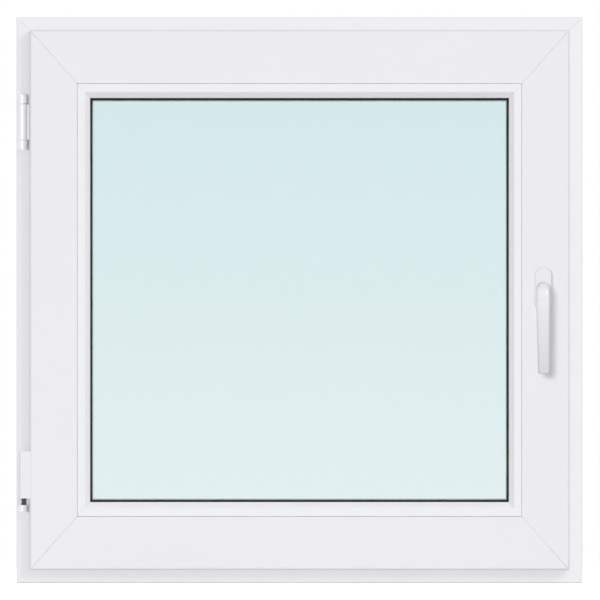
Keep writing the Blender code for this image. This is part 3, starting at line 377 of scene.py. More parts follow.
# the faint orange peel, sheen change and tone drift of moulded plastic or powder coat
def makeSkinGroup():
    group, start, end = newGroup(
        "satinSkin",
        "ShaderNodeTree",
        [
            ("Vector", "NodeSocketVector", None),
            ("Peel Scale", "NodeSocketFloat", 450.0),
            ("Drift Scale", "NodeSocketFloat", 3.0),
            ("Roughness", "NodeSocketFloat", 0.3),
            ("Roughness Change", "NodeSocketFloat", 0.08),
        ],
        [("Height", "NodeSocketFloat"), ("Roughness", "NodeSocketFloat"), ("Drift", "NodeSocketFloat")],
    )
    link = group.links.new
    peel = setInputs(addNode(group, "ShaderNodeTexNoise"), Detail=3.0, Roughness=0.55)
    link(start.outputs["Vector"], peel.inputs["Vector"])
    link(start.outputs["Peel Scale"], peel.inputs["Scale"])
    drift = setInputs(addNode(group, "ShaderNodeTexNoise"), Detail=4.0, Roughness=0.6)
    link(start.outputs["Vector"], drift.inputs["Vector"])
    link(start.outputs["Drift Scale"], drift.inputs["Scale"])
    sheen = setInputs(addNode(group, "ShaderNodeTexNoise"), Scale=35.0, Detail=5.0)
    link(start.outputs["Vector"], sheen.inputs["Vector"])
    spread = mathNode(group, "SUBTRACT", sheen.outputs["Fac"], 0.5)
    change = mathNode(group, "MULTIPLY", spread, start.outputs["Roughness Change"])
    total = mathNode(group, "ADD", start.outputs["Roughness"], change, clamp=True)
    link(peel.outputs["Fac"], end.inputs["Height"])
    link(total, end.inputs["Roughness"])
    link(drift.outputs["Fac"], end.inputs["Drift"])
    return group


# where fine dust settles: on faces that look up, in drifts. The mask is 0 to Amount
def makeDustGroup():
    group, start, end = newGroup(
        "settledDust",
        "ShaderNodeTree",
        [("Vector", "NodeSocketVector", None), ("Amount", "NodeSocketFloat", 0.2)],
        [("Mask", "NodeSocketFloat")],
    )
    link = group.links.new
    geometry = addNode(group, "ShaderNodeNewGeometry")
    split = addNode(group, "ShaderNodeSeparateXYZ")
    link(geometry.outputs["Normal"], split.inputs[0])
    up = addNode(group, "ShaderNodeMapRange")
    setInputs(up, **{"From Min": 0.35, "From Max": 0.95})
    link(split.outputs["Z"], up.inputs["Value"])
    drifts = setInputs(addNode(group, "ShaderNodeTexNoise"), Scale=28.0, Detail=6.0, Roughness=0.7)
    link(start.outputs["Vector"], drifts.inputs["Vector"])
    sharpened = addNode(group, "ShaderNodeMapRange")
    setInputs(sharpened, **{"From Min": 0.35, "From Max": 0.7, "To Min": 0.4})
    link(drifts.outputs["Fac"], sharpened.inputs["Value"])
    mask = mathNode(group, "MULTIPLY", up.outputs["Result"], sharpened.outputs["Result"])
    link(mathNode(group, "MULTIPLY", mask, start.outputs["Amount"], clamp=True), end.inputs["Mask"])
    return group


# fine drawn lines along a metal piece. Stretch is small along the lines' direction
def makeBrushGroup():
    group, start, end = newGroup(
        "drawnLines",
        "ShaderNodeTree",
        [
            ("Vector", "NodeSocketVector", None),
            ("Stretch", "NodeSocketVector", (1.0, 1.0, 0.02)),
            ("Line Scale", "NodeSocketFloat", 1800.0),
            ("Roughness", "NodeSocketFloat", 0.35),
        ],
        [("Height", "NodeSocketFloat"), ("Roughness", "NodeSocketFloat"), ("Cloud", "NodeSocketFloat")],
    )
    link = group.links.new
    stretched = addNode(group, "ShaderNodeVectorMath", operation="MULTIPLY")
    link(start.outputs["Vector"], stretched.inputs[0])
    link(start.outputs["Stretch"], stretched.inputs[1])
    lines = setInputs(addNode(group, "ShaderNodeTexNoise"), Detail=3.0)
    link(stretched.outputs[0], lines.inputs["Vector"])
    link(start.outputs["Line Scale"], lines.inputs["Scale"])
    cloud = setInputs(addNode(group, "ShaderNodeTexNoise"), Scale=60.0, Detail=5.0)
    link(start.outputs["Vector"], cloud.inputs["Vector"])
    spread = mathNode(group, "MULTIPLY", mathNode(group, "SUBTRACT", lines.outputs["Fac"], 0.5), 0.3)
    total = mathNode(group, "ADD", start.outputs["Roughness"], spread, clamp=True)
    link(lines.outputs["Fac"], end.inputs["Height"])
    link(total, end.inputs["Roughness"])
    link(cloud.outputs["Fac"], end.inputs["Cloud"])
    return group


skinGroup = makeSkinGroup()
dustGroup = makeDustGroup()
brushGroup = makeBrushGroup()


def placeGroup(tree, group, **values):
    node = addNode(tree, "ShaderNodeGroup", node_tree=group)
    for key, value in values.items():
        node.inputs[key].default_value = value
    return node


def objectVector(tree):
    return addNode(tree, "ShaderNodeTexCoord").outputs["Object"]


def newFinish(name):
    material = bpy.data.materials.new(name)
    material.use_nodes = True
    tree = material.node_tree
    return material, tree, tree.nodes["Principled BSDF"]


def addBump(tree, shader, height, strength, distance):
    bump = setInputs(addNode(tree, "ShaderNodeBump"), Strength=strength, Distance=distance)
    tree.links.new(height, bump.inputs["Height"])
    tree.links.new(bump.outputs["Normal"], shader.inputs["Normal"])


# finishes


dustColour = (0.62, 0.60, 0.56)


# white plastic or powder coat: a slow drift between two near whites, satin peel and settled dust
def whiteFinish(name, s):
    material, tree, shader = newFinish(name)
    vector = objectVector(tree)
    skin = placeGroup(tree, skinGroup, **{"Peel Scale": s["peelScale"], "Roughness": s["roughness"]})
    tree.links.new(vector, skin.inputs["Vector"])
    settled = placeGroup(tree, dustGroup, Amount=s["dust"])
    tree.links.new(vector, settled.inputs["Vector"])
    tone = mixColour(tree, skin.outputs["Drift"], s["dark"], s["light"])
    dusted = mixColour(tree, settled.outputs["Mask"], tone, dustColour)
    tree.links.new(dusted, shader.inputs["Base Color"])
    dusty = mathNode(tree, "MULTIPLY", settled.outputs["Mask"], 0.6)
    dulled = mathNode(tree, "ADD", skin.outputs["Roughness"], dusty, clamp=True)
    tree.links.new(dulled, shader.inputs["Roughness"])
    addBump(tree, shader, skin.outputs["Height"], 0.25, s["peelDepth"])
    shader.inputs["Coat Weight"].default_value = s["coat"]
    shader.inputs["Coat Roughness"].default_value = 0.12
    return material


# the handle's coat, a little duller towards the end of the grip, and greyer there by painted shade
def leverShadedFinish(name, low, high):
    material, tree, shader = newFinish(name)
    vector = objectVector(tree)
    skin = placeGroup(tree, skinGroup, **{"Peel Scale": 1100.0, "Roughness": 0.26})
    tree.links.new(vector, skin.inputs["Vector"])
    split = addNode(tree, "ShaderNodeSeparateXYZ")
    tree.links.new(vector, split.inputs[0])
    rise = setInputs(addNode(tree, "ShaderNodeMapRange"), **{"From Min": low, "From Max": high})
    tree.links.new(split.outputs["Z"], rise.inputs["Value"])
    # painted shade: the colour greys from the top of the grip down to its end, standing in for the shade on
    # its lower part
    tone = mixColour(tree, rise.outputs["Result"], (0.66, 0.66, 0.67), (0.82, 0.82, 0.83))
    drift = mathNode(tree, "MULTIPLY", skin.outputs["Drift"], 0.12)
    tree.links.new(mixColour(tree, drift, tone, (0.88, 0.88, 0.89)), shader.inputs["Base Color"])
    worn = mathNode(tree, "MULTIPLY", mathNode(tree, "SUBTRACT", 1.0, rise.outputs["Result"]), 0.14)
    dulled = mathNode(tree, "ADD", skin.outputs["Roughness"], worn, clamp=True)
    tree.links.new(dulled, shader.inputs["Roughness"])
    addBump(tree, shader, skin.outputs["Height"], 0.25, 0.012 * mm)
    shader.inputs["Coat Weight"].default_value = 0.35
    shader.inputs["Coat Roughness"].default_value = 0.12
    return material


# bare metal: fine drawn lines and a cloudy tone
def metalFinish(name, s):
    material, tree, shader = newFinish(name)
    vector = objectVector(tree)
    values = {"Stretch": s["stretch"], "Line Scale": s["lineScale"], "Roughness": s["roughness"]}
    brush = placeGroup(tree, brushGroup, **values)
    tree.links.new(vector, brush.inputs["Vector"])
    clouded = mixColour(tree, brush.outputs["Cloud"], s["dark"], s["light"])
    tree.links.new(clouded, shader.inputs["Base Color"])
    tree.links.new(brush.outputs["Roughness"], shader.inputs["Roughness"])
    addBump(tree, shader, brush.outputs["Height"], 0.35, s["depth"])
    shader.inputs["Metallic"].default_value = 1.0
    return material


def rubberFinish(name):
    material, tree, shader = newFinish(name)
    vector = objectVector(tree)
    skin = placeGroup(tree, skinGroup, **{"Peel Scale": 1600.0, "Roughness": 0.62, "Roughness Change": 0.2})
    tree.links.new(vector, skin.inputs["Vector"])
    settled = placeGroup(tree, dustGroup, Amount=0.12)
    tree.links.new(vector, settled.inputs["Vector"])
    tone = mixColour(tree, skin.outputs["Drift"], (0.006, 0.006, 0.007), (0.013, 0.013, 0.014))
    dusted = mixColour(tree, settled.outputs["Mask"], tone, (0.16, 0.155, 0.15))
    tree.links.new(dusted, shader.inputs["Base Color"])
    tree.links.new(skin.outputs["Roughness"], shader.inputs["Roughness"])
    addBump(tree, shader, skin.outputs["Height"], 0.4, 0.05 * mm)
    shader.inputs["Specular IOR Level"].default_value = 0.25
    return material


# float glass: clear, a little aqua, with a painted reflection that deepens its tint towards the top. Lamps
# shine through it
def glassFinish(name, low, high, topTintAndReflection, bottomTintAndReflection):
    material, tree, shader = newFinish(name)
    split = addNode(tree, "ShaderNodeSeparateXYZ")
    tree.links.new(objectVector(tree), split.inputs[0])
    rise = setInputs(addNode(tree, "ShaderNodeMapRange"), **{"From Min": low, "From Max": high})
    tree.links.new(split.outputs["Z"], rise.inputs["Value"])
    tintWithReflection = mixColour(tree, rise.outputs["Result"], bottomTintAndReflection, topTintAndReflection)
    tree.links.new(tintWithReflection, shader.inputs["Base Color"])
    shader.inputs["Roughness"].default_value = 0.0
    shader.inputs["IOR"].default_value = 1.5
    shader.inputs["Transmission Weight"].default_value = 1.0
    clear = addNode(tree, "ShaderNodeBsdfTransparent")
    clear.inputs["Color"].default_value = (0.93, 0.97, 0.97, 1)
    path = addNode(tree, "ShaderNodeLightPath")
    mix = addNode(tree, "ShaderNodeMixShader")
    tree.links.new(path.outputs["Is Shadow Ray"], mix.inputs[0])
    tree.links.new(shader.outputs[0], mix.inputs[1])
    tree.links.new(clear.outputs[0], mix.inputs[2])
    tree.links.new(mix.outputs[0], tree.nodes["Material Output"].inputs["Surface"])
    return material


def packerFinish(name, colour):
    material, tree, shader = newFinish(name)
    vector = objectVector(tree)
    skin = placeGroup(tree, skinGroup, **{"Peel Scale": 900.0, "Roughness": 0.5, "Roughness Change": 0.2})
    tree.links.new(vector, skin.inputs["Vector"])
    darker = tuple(value * 0.8 for value in colour)
    tree.links.new(mixColour(tree, skin.outputs["Drift"], darker, colour), shader.inputs["Base Color"])
    tree.links.new(skin.outputs["Roughness"], shader.inputs["Roughness"])
    addBump(tree, shader, skin.outputs["Height"], 0.3, 0.05 * mm)
    return material


# framePlastic and beadPlastic are a little lighter than sashPlastic, though all are one white plastic:
# painted light that brightens the frame's strips and the beads' slopes
whites = {
    "framePlastic": {
        "light": (0.852, 0.848, 0.870),
        "dark": (0.832, 0.828, 0.850),
        "roughness": 0.34,
        "peelScale": 420.0,
        "peelDepth": 0.02 * mm,
        "dust": 0.22,
        "coat": 0.0,
    },
    "sashPlastic": {
        "light": (0.825, 0.820, 0.855),
        "dark": (0.805, 0.800, 0.835),
        "roughness": 0.34,
        "peelScale": 420.0,
        "peelDepth": 0.02 * mm,
        "dust": 0.16,
        "coat": 0.0,
    },
    "beadPlastic": {
        "light": (0.850, 0.850, 0.866),
        "dark": (0.830, 0.830, 0.846),
        "roughness": 0.30,
        "peelScale": 420.0,
        "peelDepth": 0.02 * mm,
        "dust": 0.16,
        "coat": 0.0,
    },
    "hingeCoat": {
        "light": (0.84, 0.84, 0.855),
        "dark": (0.80, 0.80, 0.815),
        "roughness": 0.28,
        "peelScale": 900.0,
        "peelDepth": 0.015 * mm,
        "dust": 0.1,
        "coat": 0.2,
    },
    "coverPlastic": {
        "light": (0.825, 0.82, 0.855),
        "dark": (0.805, 0.80, 0.835),
        "roughness": 0.32,
        "peelScale": 700.0,
        "peelDepth": 0.015 * mm,
        "dust": 0.1,
        "coat": 0.0,
    },
    "handleCoat": {
        "light": (0.82, 0.82, 0.835),
        "dark": (0.79, 0.79, 0.805),
        "roughness": 0.26,
        "peelScale": 1100.0,
        "peelDepth": 0.012 * mm,
        "dust": 0.06,
        "coat": 0.35,
    },
}
# stretch is small along the drawn lines
metals = {
    "zincSteel": {
        "light": (0.62, 0.63, 0.64),
        "dark": (0.46, 0.48, 0.50),
        "roughness": 0.34,
        "stretch": (1.0, 1.0, 0.03),
        "lineScale": 1500.0,
        "depth": 0.02 * mm,
    },
    "darkZinc": {
        "light": (0.26, 0.26, 0.28),
        "dark": (0.15, 0.15, 0.17),
        "roughness": 0.24,
        "stretch": (1.0, 1.0, 0.03),
        "lineScale": 1500.0,
        "depth": 0.02 * mm,
    },
    "castZinc": {
        "light": (0.50, 0.51, 0.52),
        "dark": (0.36, 0.37, 0.38),
        "roughness": 0.48,
        "stretch": (1.0, 1.0, 1.0),
        "lineScale": 1300.0,
        "depth": 0.03 * mm,
    },
    "spacerMetal": {
        "light": (0.62, 0.63, 0.64),
        "dark": (0.52, 0.54, 0.55),
        "roughness": 0.45,
        "stretch": (0.05, 1.0, 0.05),
        "lineScale": 900.0,
        "depth": 0.01 * mm,
    },
}
whiteMade = {name: whiteFinish(name, settings) for name, settings in whites.items()}
frameWhite = whiteMade["framePlastic"]
sashWhite = whiteMade["sashPlastic"]
beadWhite = whiteMade["beadPlastic"]
hingeWhite = whiteMade["hingeCoat"]
coverWhite = whiteMade["coverPlastic"]
handleWhite = whiteMade["handleCoat"]
metalMade = {name: metalFinish(name, settings) for name, settings in metals.items()}
zincSteel = metalMade["zincSteel"]
darkZinc = metalMade["darkZinc"]
castZinc = metalMade["castZinc"]
spacerMetal = metalMade["spacerMetal"]
blackRubber = rubberFinish("sealRubber")
packerBlue = packerFinish("packerPlastic", (0.05, 0.25, 0.45))
# painted shade: this coat greys towards the lower end of the grip
leverShadedWhite = leverShadedFinish("leverPaintedShadeCoat", 0.3325, 0.4535)
# painted shade: near black stands in for the shade inside screw recesses and spacer vent holes
paintedRecessShade = packerFinish("recessShade", (0.012, 0.012, 0.012))
print("finishes made")

# outer frame

outerFrame = {
    "nodes": {
        "top": "frame_head",
        "bottom": "frame_sill",
        "hinge": "frame_jamb_hinge",
        "lock": "frame_jamb_lock",
    },
    "legWidth": 30 * mm,
    "stopReach": 22 * mm,
    "stopSlope": 2.5 * mm,
    "edgeRadius": 1.6 * mm,
    "clipGroove": 3.0 * mm,  # grooves for sills and couplings in the outer face
    "clipDepth": 1.8 * mm,
    "clipPlaces": (-24 * mm, -16 * mm, 16 * mm, 24 * mm),
    "drainGap": 0.3 * mm,
    "drainFlange": 1.2 * mm,
    "slotLength": 36 * mm,
    "slotHeight": 6 * mm,
    "slotDepth": 9 * mm,
    "mitreGap": 0.22 * mm,
    "weldDepth": 0.70 * mm,
    "weldWidth": 0.80 * mm,
}


def frameCorners(s):
    leg = s["legWidth"]
    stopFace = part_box("frame_gasket")[1].y + 0.3 * mm
    inner = leg + s["stopReach"]
    corners = [
        (leg, roomFace, 2.2 * mm),
        (leg, -20 * mm, 0.4 * mm),
        (leg + 0.6 * mm, -19 * mm, 0.4 * mm),
        (leg + 0.6 * mm, stopFace - 6 * mm, 0.4 * mm),
        (leg, stopFace - 5 * mm, 0.3 * mm),
        (leg, stopFace, 0.8 * mm),
        (inner, stopFace, 1.6 * mm),
        (inner - s["stopSlope"], outsideFace, 2.2 * mm),
        (0, outsideFace, s["edgeRadius"]),
    ]
    for y in sorted(s["clipPlaces"], reverse=True):
        half = s["clipGroove"] / 2
        corners += [
            (0, y + half, 0.25 * mm),
            (s["clipDepth"], y + half * 0.8, 0.2 * mm),
            (s["clipDepth"], y - half * 0.8, 0.2 * mm),
            (0, y - half, 0.25 * mm),
        ]
    corners.append((0, roomFace, s["edgeRadius"]))
    return corners


# recesses and slots in the sill for its two drain caps
def drainCutters(s):
    gap = s["drainGap"]
    cutters = []
    for node in ("drain_cap_hinge_end", "drain_cap_lock_end"):
        low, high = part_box(node)
        around = Vector((gap, 0, gap))
        floor = Vector((low.x, high.y - s["drainFlange"] - gap, low.z)) - around
        cutters.append(blockMesh("recess", floor, high + around + Vector((0, mm, 0))))
        end = Vector(((high.x - low.x - s["slotLength"]) / 2, 0, (high.z - low.z - s["slotHeight"]) / 2))
        deep = Vector((low.x, outsideFace - s["slotDepth"], low.z)) + end - around
        cutters.append(blockMesh("slot", deep, high - end + around))
    merged = carveMesh(cutters[0], cutters[1:], "UNION")
    return [merged]


def makeFrame(s):
    corners = frameCorners(s)
    for side, node in s["nodes"].items():
        mesh = mitredBar(node, side, alongHead, corners, 0.05 * mm, s)
        if side == "bottom":
            mesh = carveMesh(mesh, drainCutters(s))
        addPiece(node + "_profile", mesh, frameWhite, "frame", [node])


makeFrame(outerFrame)
print("outer frame made")

# sash

sashBars = {
    "nodes": {
        "top": "sash_top_rail",
        "bottom": "sash_bottom_rail",
        "hinge": "sash_stile_hinge",
        "lock": "sash_stile_lock",
    },
    "flange": 17 * mm,
    "edgeGap": 12 * mm,
    "outerRadius": 3.4 * mm,
    "beadStepRadius": 0.5 * mm,
    "grooveWidth": 16 * mm,
    "grooveDepth": 6 * mm,
    "grooveMiddle": -12 * mm,
    "lip": 12 * mm,
    "lipSlope": 2.5 * mm,
    "mitreGap": 0.14 * mm,
    "weldDepth": 0.55 * mm,
    "weldWidth": 0.60 * mm,
}


def sashCorners(s):
    edge = outerFrame["legWidth"] + s["edgeGap"]
    flangeBack = sashFront + s["flange"]
    lipFace = sashBack - s["lip"]
    half = s["grooveWidth"] / 2
    floor = edge + s["grooveDepth"]
    line = beadLine - 0.3 * mm
    return [
        (reveal, sashFront, s["outerRadius"]),
        (line, sashFront, s["beadStepRadius"]),
        (line, lipFace, 0.5 * mm),
        (sightLine, lipFace, 1.2 * mm),
        (sightLine - s["lipSlope"], sashBack, 2.4 * mm),
        (edge, sashBack, 1.6 * mm),
        (edge, s["grooveMiddle"] + half, 0.5 * mm),
        (floor, s["grooveMiddle"] + half, 0.4 * mm),
        (floor, s["grooveMiddle"] - half, 0.4 * mm),
        (edge, s["grooveMiddle"] - half, 0.5 * mm),
        (edge, flangeBack, 1.0 * mm),
        (reveal, flangeBack, 1.2 * mm),
    ]


def makeSash(s):
    corners = sashCorners(s)
    for side, node in s["nodes"].items():
        mesh = mitredBar(node, side, alongRail, corners, 0.06 * mm, s)
        addPiece(node + "_profile", mesh, sashWhite, "sash", [node])


makeSash(sashBars)
print("sash made")

# glazing

glazing = {
    "beadSlope": 8.5 * mm,
    "beadStep": 0.5 * mm,
    "shoulderRadius": 3.0 * mm,
    "noseRadius": 1.6 * mm,
    "mitreGap": 0.08 * mm,
    "weldDepth": 0.18 * mm,
    "weldWidth": 0.25 * mm,
    "noseReach": 0.5 * mm,  # past the sight line of the sash
    "sealShowing": 3.3 * mm,
    "sealFoot": 6 * mm,
    "sealThickness": 2.6 * mm,
    "lipThickness": 0.9 * mm,
    "sealGap": 0.1 * mm,
    # painted reflection: the top tint is darker than the bottom one, standing in for the room's reflection
    # in the panes
    "topTintWithPaintedReflection": (0.819, 0.909, 0.920),
    "bottomTintWithPaintedReflection": (0.884, 0.942, 0.946),
}


def makeBeads(s):
    face = sashFront + s["beadStep"]
    nose = sightLine + s["noseReach"]
    corners = [
        (beadLine, face, 0.9 * mm),
        (nose - s["beadSlope"], face, s["shoulderRadius"]),
        (nose, face + s["beadSlope"], s["noseRadius"]),
        (nose, beadHigh.y, 0.4 * mm),
        (beadLine, beadHigh.y, 0.4 * mm),
    ]
    for side in ("top", "bottom", "hinge", "lock"):
        node = "glazing_bead_" + side
        mesh = mitredBar(node, side, alongRail, corners, 0.06 * mm, s)
        addPiece(node + "_profile", mesh, beadWhite, "sash", [node])


# the seals each side of the glass, with a thin lip that lies on the pane
def makeGlassSeals(s):
    seal = sightLine + s["sealShowing"]
    foot = sightLine - s["sealFoot"]
    for node, glassFace, away in (
        ("glazing_gasket_room", roomPaneLow.y, -1),
        ("glazing_gasket_outside", outerPaneHigh.y, 1),
    ):
        near = glassFace + away * s["sealGap"]
        far = near + away * s["sealThickness"]
        outline = roundedOutline(
            [
                (foot, near, 0.3 * mm),
                (seal, near, 0.25 * mm),
                (seal, near + away * s["lipThickness"], 0.4 * mm),
                (sightLine + s["noseReach"], far, 0.8 * mm),
                (foot, far, 0.3 * mm),
            ],
            steps=4,
        )
        lip = ringMesh(node, alongRail, outline)
        addPiece(node + "_lip", lip, blackRubber, "sash", [node])


makeBeads(glazing)
makeGlassSeals(glazing)

# seals between the frame and the sash

seals = {
    "frameWidth": 6 * mm,
    "sashWidth": 5 * mm,
    "finThickness": 0.7 * mm,
    "footHeight": 1.2 * mm,
}


# a foot with two soft fins that reach from footY to tipY
def finSeal(w0, w1, footY, tipY, s):
    way = 1 if tipY > footY else -1
    knee = footY + way * s["footHeight"]
    middle = (w0 + w1) / 2
    fin = s["finThickness"]
    return roundedOutline(
        [
            (w0, footY, 0.2 * mm),
            (w0, knee, 0.3 * mm),
            (w0 + 0.4 * mm, tipY, 0.25 * mm),
            (w0 + 0.4 * mm + fin, tipY, 0.25 * mm),
            (middle - 0.2 * mm, knee, 0.2 * mm),
            (middle + 0.6 * mm, knee, 0.2 * mm),
            (w1 - 0.3 * mm - fin, tipY, 0.25 * mm),
            (w1 - 0.3 * mm, tipY, 0.25 * mm),
            (w1, knee, 0.3 * mm),
            (w1, footY, 0.2 * mm),
        ],
        steps=3,
        hold=0.03 * mm,
    )


def makeSeals(s):
    low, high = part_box("frame_gasket")
    inner = halfWidth + low.x
    outline = finSeal(inner, inner + s["frameWidth"], high.y, low.y, s)
    fins = ringMesh("frameSeal", alongHead, outline)
    addPiece("frame_gasket_fins", fins, blackRubber, "frame", ["frame_gasket"])
    low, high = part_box("sash_gasket")
    inner = halfWidth + low.x
    outline = finSeal(inner, inner + s["sashWidth"], low.y, high.y, s)
    fins = ringMesh("sashSeal", alongRail, outline)
    addPiece("sash_gasket_fins", fins, blackRubber, "sash", ["sash_gasket"])


makeSeals(seals)
print("seals made")

# hinges

hinges = {
    "pinRadius": 3.0 * mm,
    "gap": 0.3 * mm,
    "chamfer": 0.45 * mm,
    "capRound": 2.2 * mm,
    "capDome": 0.5 * mm,
    "studRadius": 3.5 * mm,
    "studInset": 14 * mm,
    "studReach": 12 * mm,
    "webFront": 4.9 * mm,  # the leaf that joins the barrel to the sash edge
    "webBack": 2.0 * mm,
    "washerRadius": 4.6 * mm,
    "coverRound": 2.2 * mm,
    "coverStep": 0.2 * mm,  # how far its face lies behind the sash's
    "coverBore": 5 * mm,  # solid left above the pin's hole
    "capBore": 7.7 * mm,
}
capLow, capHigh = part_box("upper_hinge_cap")
hingeLine = (capLow + capHigh) / 2
barrelRadius = (capHigh.x - capLow.x) / 2


# a turned piece whose closed profile (radius, z) stays clear of the hinge line
def tubeMesh(name, profile, count=64):
    rings = [
        [(hingeLine.x + p.x, hingeLine.y + p.y, z) for p in circlePoints(radius, count)]
        for radius, z in profile
    ]
    return ringsToMesh(name, rings, cyclic=True)


def barrelProfile(bore, radius, bottom, top, chamfer):
    return [
        (bore, bottom),
        (radius - chamfer, bottom),
        (radius - chamfer * 0.3, bottom + chamfer * 0.3),
        (radius, bottom + chamfer),
        (radius, bottom + chamfer * 1.3),
        (radius, top - chamfer * 1.3),
        (radius, top - chamfer),
        (radius - chamfer * 0.3, top - chamfer * 0.3),
        (radius - chamfer, top),
        (bore, top),
    ]


# an upright prism of an (x, y) outline with its top and bottom edges softened
def prismMesh(name, outline, bottom, top, chamfer):
    rings = []
    for z, inset in (
        (bottom, chamfer),
        (bottom + chamfer * 0.3, chamfer * 0.3),
        (bottom + chamfer, 0),
        (bottom + chamfer * 1.3, 0),
        (top - chamfer * 1.3, 0),
        (top - chamfer, 0),
        (top - chamfer * 0.3, chamfer * 0.3),
        (top, chamfer),
    ):
        rings.append([(p.x, p.y, z) for p in insetOutline(outline, inset)])
    return ringsToMesh(name, rings)


# a block on the frame's face, round towards the room
def bearingOutline(node):
    low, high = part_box(node)
    half = (high.x - low.x) / 2
    turns = [pi * i / 40 for i in range(41)]
    front = [Vector((hingeLine.x - half * cos(turn), hingeLine.y - half * sin(turn))) for turn in turns]
    return [Vector((low.x, high.y)), *front, Vector((high.x, high.y))]


def hingePiece(name, mesh, body, node):
    return addPiece(name, mesh, hingeWhite, body, [node])


# a bolt with a washer between the barrel and the sash edge
def studMeshes(z, s):
    edge = stileLow.x
    start = hingeLine.x + s["pinRadius"] + 3 * s["gap"]
    end = edge + s["studReach"]
    bolt = [(0, start), (s["studRadius"], start), (s["studRadius"], end), (0, end)]
    washer = [
        (0, edge - 1.2 * mm),
        (s["washerRadius"] - 0.3 * mm, edge - 1.2 * mm),
        (s["washerRadius"], edge - 0.9 * mm),
        (s["washerRadius"], edge - 0.3 * mm),
        (0, edge - 0.3 * mm),
    ]
    centre = (0, hingeLine.y, z)
    return [turnedMesh("bolt", bolt, centre, "x", 32), turnedMesh("washer", washer, centre, "x", 32)]


def makeUpperHinge(s):
    low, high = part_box("upper_hinge_barrel")
    bore = s["pinRadius"] + s["gap"]
    meshes = [tubeMesh("barrel", barrelProfile(bore, barrelRadius, low.z, high.z, s["chamfer"]))]
    for z in (low.z + s["studInset"], high.z - s["studInset"]):
        meshes += studMeshes(z, s)
    webStart = hingeLine.x + s["pinRadius"] + 3 * s["gap"]
    meshes.append(
        blockMesh(
            "web",
            (webStart, hingeLine.y - s["webFront"], low.z + 0.6 * mm),
            (stileLow.x - s["gap"], hingeLine.y + s["webBack"], high.z - 0.6 * mm),
            0.3 * mm,
        )
    )
    sleeve = joinMeshes("barrel", meshes)
    sleeve = hingePiece("upper_hinge_barrel_sleeve", sleeve, "sash", "upper_hinge_barrel")

    turnRadius = s["capRound"]
    crown = []
    for i in range(9):
        turn = pi / 16 * i
        crown.append(
            (
                barrelRadius - turnRadius + turnRadius * cos(turn),
                capHigh.z - s["capDome"] - turnRadius + turnRadius * sin(turn),
            )
        )
    top = capHigh.z
    profile = [
        (0, top - s["capBore"]),
        (bore, top - s["capBore"]),
        (bore, capLow.z),
        (barrelRadius - s["chamfer"], capLow.z),
        (barrelRadius, capLow.z + s["chamfer"]),
        *crown,
        ((barrelRadius - turnRadius) * 0.5, top - 0.12 * mm),
        (0, top),
    ]
    cap = turnedMesh("cap", profile, (hingeLine.x, hingeLine.y, 0), "z", 64)
    cap = hingePiece("upper_hinge_cap_round", cap, "frame", "upper_hinge_cap")

    blockLow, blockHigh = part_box("upper_hinge_bearing")
    top = low.z - s["gap"]
    plate = blockMesh(
        "plate",
        (blockLow.x + 0.8 * mm, blockHigh.y - 2.2 * mm, blockLow.z + 2 * mm),
        (blockHigh.x - 0.8 * mm, blockHigh.y, blockHigh.z),
        0.4 * mm,
    )
    outline = bearingOutline("upper_hinge_bearing")
    block = prismMesh("block", outline, blockLow.z, top, s["chamfer"])
    bearing = joinMeshes("bearing", [block, plate])
    bearing = hingePiece("upper_hinge_bearing_block", bearing, "frame", "upper_hinge_bearing")
    return [sleeve, cap, bearing]


# the cover's section: its inner side follows the rounded edge of the sash
def coverOutline(low, high, s):
    gap = s["gap"]
    radius = sashBars["outerRadius"]
    centre = Vector((stileLow.x + radius, sashFront + radius))
    face = sashFront + s["coverStep"]
    meeting = Vector((stileLow.x - gap, face))
    outline = roundedOutline(
        [
            (low.x, face, s["coverRound"]),
            (*meeting, 0),
            (stileLow.x - gap, high.y, 0.6 * mm),
            (low.x, high.y, 0.6 * mm),
        ]
    )
    front = asin((radius - s["coverStep"]) / (radius + gap))
    curve = [
        centre + Vector((-cos(turn), -sin(turn))) * (radius + gap)
        for turn in (front * i / 8 for i in range(8, -1, -1))
    ]
    corner = next(i for i, p in enumerate(outline) if (p - meeting).length < 1e-7)
    return outline[:corner] + curve + outline[corner + 1 :]


